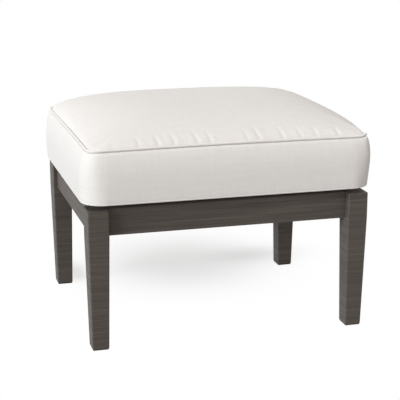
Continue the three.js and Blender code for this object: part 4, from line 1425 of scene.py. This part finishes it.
def stitch_piece(sizes):
    """One stitch: a short round bar along X that dips into the cloth at both ends."""
    half, rings = sizes.stitch * STITCH_HALF, []
    for share in (k / STITCH_STEPS for k in range(STITCH_STEPS + 1)):
        fullness = math.sin(math.pi * (STITCH_END + STITCH_SPAN * share)) ** 0.5
        radius = sizes.thread * fullness
        lift = sizes.thread * (math.sin(math.pi * share) - STITCH_SINK)
        rings.append([(half * (2 * share - 1), radius * math.cos(turn),
                       lift + radius * math.sin(turn)) for turn in turns(THREAD_SIDES)])
    piece = ringed("stitch", rings, closed=False)
    # It is drawn with its outside at +Z, which is +Y on the back of the cushion.
    piece.transform(Matrix.Rotation(-math.pi / 2, 4, "X"))
    return piece


def tape_half(name, inner_z, outer_z, sizes, material):
    """One half of the tape, its places along and across kept for the weave."""
    end = TAPE_BOX[1].x
    xs, zs = np.meshgrid(np.linspace(-end, end, TAPE_COLUMNS),
                         np.linspace(inner_z, outer_z, TAPE_ROWS))
    front, back = (np.stack([xs, np.full_like(xs, y), zs], -1)
                   for y in (tape_face(sizes), TAPE_BOX[0].y))
    mesh = strip_solid(name, front, back)
    points = coordinates(mesh)
    for label, column in (("along", 0), ("across", 2)):
        kept = mesh.attributes.new(label, "FLOAT", "POINT")
        kept.data.foreach_set("value", points[:, column].astype(np.float32))
    return new_object(name, mesh, material)


class OTTOMAN_OT_zip(bpy.types.Operator):
    """Sew the zip into the back of the boxing"""

    bl_idname = "ottoman.zip"
    bl_label = "Sew the zip"

    def execute(self, context):
        sizes = context.scene.ottoman_zip
        cushion = context.scene.ottoman_cushion
        finish = context.scene.ottoman_finish
        cloth = cloth_material("placket_cloth", cloth_map, cushion)
        rows = []
        for where, sign, seam in (("upper", 1, SEAM_LOW), ("lower", -1, BOTTOM_SEAM)):
            fold, label = TAPE_MIDDLE + sign * sizes.opening / 2, f"placket_{where}"
            strip = placket(label, fold, seam - sign * UNDER_PIPING, sizes)
            made = new_object(label, strip, cloth)
            ride_on(made, "cushion", [f"zip_placket_{where}"])
            rows += [fold + sign * row for row in STITCH_ROWS]
        self.add_stitches(rows, sizes, cushion)
        self.add_tape(sizes)
        self.add_coil(sizes)
        nickel = brushed_material("zip_nickel", finish.nickel, roughness=0.3)
        dress(["zip_slider", "zip_pull"], nickel, finish.edge_round / 2)
        return {"FINISHED"}

    def add_stitches(self, rows, sizes, cushion):
        end = zip_half_length(sizes) - 2 * sizes.stitch
        lift = FOLD_LIFT - STITCH_DENT + sizes.thread * 0.4
        x = np.linspace(-end, end, STITCH_COLUMNS)
        lines = [zip_surface(x, np.full_like(x, z), sizes, lift) for z in rows]
        thread = speckled_material("sewing_thread", cushion.cloth_shade,
                                   shade(cushion.cloth, 1.06), scale=900.0,
                                   roughness=0.55, bump=0.00003)
        stitches = grow_copies(
            "placket_stitches", polylines("placket_stitches", lines), repeat_tree(),
            stitch_piece(sizes),
            {"Pitch": sizes.stitch, "Uneven turn": 0.06, "Seed": 5, "Material": thread})
        ride_on(stitches, "cushion")

    def add_tape(self, sizes):
        material = ribbed_material("tape_weave", sizes.tape, rib=0.0011, groove_shade=0.8)
        for where, sign, replaced in (("upper", 1, ["zip_tape"]), ("lower", -1, ())):
            half = tape_half(f"tape_{where}", TAPE_MIDDLE + sign * TAPE_SLIT,
                             TAPE_MIDDLE + sign * TAPE_HALF, sizes, material)
            ride_on(half, "cushion", replaced)

    def add_coil(self, sizes):
        y = (tape_face(sizes) + TAPE_BOX[1].y) / 2
        end = TAPE_BOX[1].x - sizes.coil_pitch
        side = sizes.coil_width / 4 - COIL_OVERLAP
        lines = [[(way * end + shift, y, TAPE_MIDDLE + sign * side) for way in (-1, 1)]
                 for sign, shift in ((1, 0), (-1, sizes.coil_pitch / 2))]
        nylon = speckled_material("coil_nylon", sizes.tape, shade(sizes.tape, 1.15),
                                  scale=600.0, roughness=0.35, bump=0.00001)
        coil = grow_copies("zip_coil", polylines("zip_coil", lines), repeat_tree(),
                           coil_turn(sizes),
                           {"Pitch": sizes.coil_pitch, "Seed": 9, "Material": nylon})
        ride_on(coil, "cushion")


# Stage

FLOOR_REACH = 30.0
FLOOR_LEVEL = -0.0002
FLOOR_GREY = 0.8

# The floor beside two feet where their shadow shows most: middle, reach and added share.
CONTACT_SHADOWS = (
    ((0.2435, 0.3208, 0.0), (0.111, 0.0705, 1.0), 0.335),
    ((-0.2447, 0.3086, 0.0), (0.0305, 0.0727, 1.0), 0.498),
)
SHADOW_POWER, CONTACT_POWER = 2.55, 2.0
# Width of the camera's sensor in millimetres, and from where to where it sees.
SENSOR = 36
CLIP = (0.05, 100)
# Where the lamps shine, and their softness in degrees.
FROM_LEFT, LEFT_SOFTNESS = (0.9, 0.36, -0.3), 30
FROM_FRONT, FRONT_SOFTNESS = (0.35, 0.8, -0.5), 60
FROM_ABOVE, TOP_SOFTNESS = (0.05, 0.05, -1), 70


def white_to_camera(tree):
    """1 for the rays that see the background itself, and 0 for those that carry its light."""
    path = add_node(tree, "ShaderNodeLightPath").outputs
    seen = calc(tree, "MAXIMUM", path["Is Camera Ray"], path["Is Glossy Ray"])
    return calc(tree, "MAXIMUM", seen, path["Is Transmission Ray"])


def round_spot(tree, place, middle, reach, power):
    """1 in the middle of a spot on the floor, fading out round its reach."""
    away = vector_calc(tree, "DIVIDE", vector_calc(tree, "SUBTRACT", place, middle), reach)
    faded = calc(tree, "POWER", vector_value(tree, "LENGTH", away), power)
    return calc(tree, "EXPONENT", calc(tree, "MULTIPLY", faded, -1.0))


def floor_material(settings):
    """A pale floor that is white to the camera and keeps the object's shadow round its middle."""
    material = bpy.data.materials.new("pale_floor")
    material.use_nodes = True
    tree = material.node_tree
    tree.nodes.remove(tree.nodes["Principled BSDF"])
    place = object_place(tree)
    near = round_spot(tree, place, tuple(settings.shadow_middle), tuple(settings.shadow_reach),
                      SHADOW_POWER)
    share = calc(tree, "MULTIPLY", near, settings.shadow_share)
    for middle, reach, gain in CONTACT_SHADOWS:
        spot = round_spot(tree, place, middle, reach, CONTACT_POWER)
        share = calc(tree, "ADD", share, calc(tree, "MULTIPLY", spot, gain))
    share = calc(tree, "MINIMUM", share, 1.0)
    plain, dim = (output(tree, "ShaderNodeBsdfDiffuse", {"Color": (grey, grey, grey, 1)})
                  for grey in (FLOOR_GREY, settings.floor_bounce))
    white = output(tree, "ShaderNodeEmission", {"Color": (1, 1, 1, 1), "Strength": 1.0})
    lifted = output(tree, "ShaderNodeMixShader", {0: share, 1: white, 2: plain})
    seen = output(tree, "ShaderNodeMixShader", {0: white_to_camera(tree), 1: dim, 2: lifted})
    tree.links.new(seen, tree.nodes["Material Output"].inputs["Surface"])
    return material


def set_world(settings):
    """White to the camera, with an even tinted light for everything else."""
    world = bpy.data.worlds.new("studio")
    world.use_nodes = True
    tree = world.node_tree
    even = shade(settings.ambient_tint, settings.ambient)
    colour = mix(tree, white_to_camera(tree), (*even, 1), (1, 1, 1, 1))
    tree.links.new(colour, tree.nodes["Background"].inputs["Color"])
    bpy.context.scene.world = world


def aimed_object(name, data, towards):
    made = new_object(name, data)
    made.rotation_mode = "QUATERNION"
    made.rotation_quaternion = Vector(towards).to_track_quat("-Z", "Y")
    return made


def add_sun(name, strength, towards, softness, tint=(1, 1, 1)):
    lamp = bpy.data.lights.new(name, "SUN")
    lamp.energy = strength
    lamp.color = tint
    lamp.angle = math.radians(softness)
    aimed_object(name, lamp, towards)


class OTTOMAN_OT_stage(bpy.types.Operator):
    """Set the floor, the lamps, the world and the camera"""

    bl_idname = "ottoman.stage"
    bl_label = "Set the stage"

    def execute(self, context):
        settings = context.scene.ottoman_stage
        corners = [(x * FLOOR_REACH, y * FLOOR_REACH, FLOOR_LEVEL)
                   for x, y in ((-1, -1), (1, -1), (1, 1), (-1, 1))]
        mesh = mesh_from("floor", corners, [(0, 1, 2, 3)])
        new_object("floor", mesh, floor_material(settings))
        set_world(settings)
        add_sun("left_light", settings.left_light, FROM_LEFT, LEFT_SOFTNESS, settings.left_tint)
        add_sun("front_light", settings.front_light, FROM_FRONT, FRONT_SOFTNESS,
                settings.front_tint)
        add_sun("top_light", settings.top_light, FROM_ABOVE, TOP_SOFTNESS)
        camera = bpy.data.cameras.new("photo_camera")
        camera.sensor_width = SENSOR
        camera.lens = settings.lens
        camera.clip_start, camera.clip_end = CLIP
        made = aimed_object("photo_camera", camera, settings.sight)
        made.location = settings.eye
        context.scene.camera = made
        context.scene.view_settings.view_transform = "Standard"
        return {"FINISHED"}


# Panel and registration

# The settings of each stage with their class, and the operators that use them.
STEPS = (
    ("ottoman_finish", FrameFinish, (OTTOMAN_OT_frame,)),
    ("ottoman_deck", DeckSizes, (OTTOMAN_OT_webbing, OTTOMAN_OT_screws)),
    ("ottoman_cushion", CushionSizes, (OTTOMAN_OT_cushion, OTTOMAN_OT_piping)),
    ("ottoman_zip", ZipSizes, (OTTOMAN_OT_zip,)),
    ("ottoman_stage", StageSettings, (OTTOMAN_OT_stage,)),
)


class OTTOMAN_PT_panel(bpy.types.Panel):
    """The steps that dress the ottoman, with their sizes and colours"""

    bl_idname = "OTTOMAN_PT_panel"
    bl_label = "Ottoman"
    bl_space_type = "VIEW_3D"
    bl_region_type = "UI"
    bl_category = "Ottoman"

    def draw(self, context):
        for group, _, operators in STEPS:
            box = self.layout.box()
            settings = getattr(context.scene, group)
            for name in settings.__annotations__:
                box.prop(settings, name)
            for operator in operators:
                box.operator(operator.bl_idname)


CLASSES = (*(group for _, group, _ in STEPS),
           *(operator for _, _, operators in STEPS for operator in operators),
           OTTOMAN_PT_panel)


def register():
    for made in CLASSES:
        bpy.utils.register_class(made)
    for name, group, _ in STEPS:
        setattr(bpy.types.Scene, name, PointerProperty(type=group))


def unregister():
    for name, _, _ in STEPS:
        delattr(bpy.types.Scene, name)
    for made in reversed(CLASSES):
        bpy.utils.unregister_class(made)


def main():
    register()
    bpy.ops.ottoman.frame()
    bpy.ops.ottoman.webbing()
    bpy.ops.ottoman.screws()
    bpy.ops.ottoman.cushion()
    bpy.ops.ottoman.piping()
    bpy.ops.ottoman.zip()
    bpy.ops.ottoman.stage()


if __name__ == "__main__":
    main()
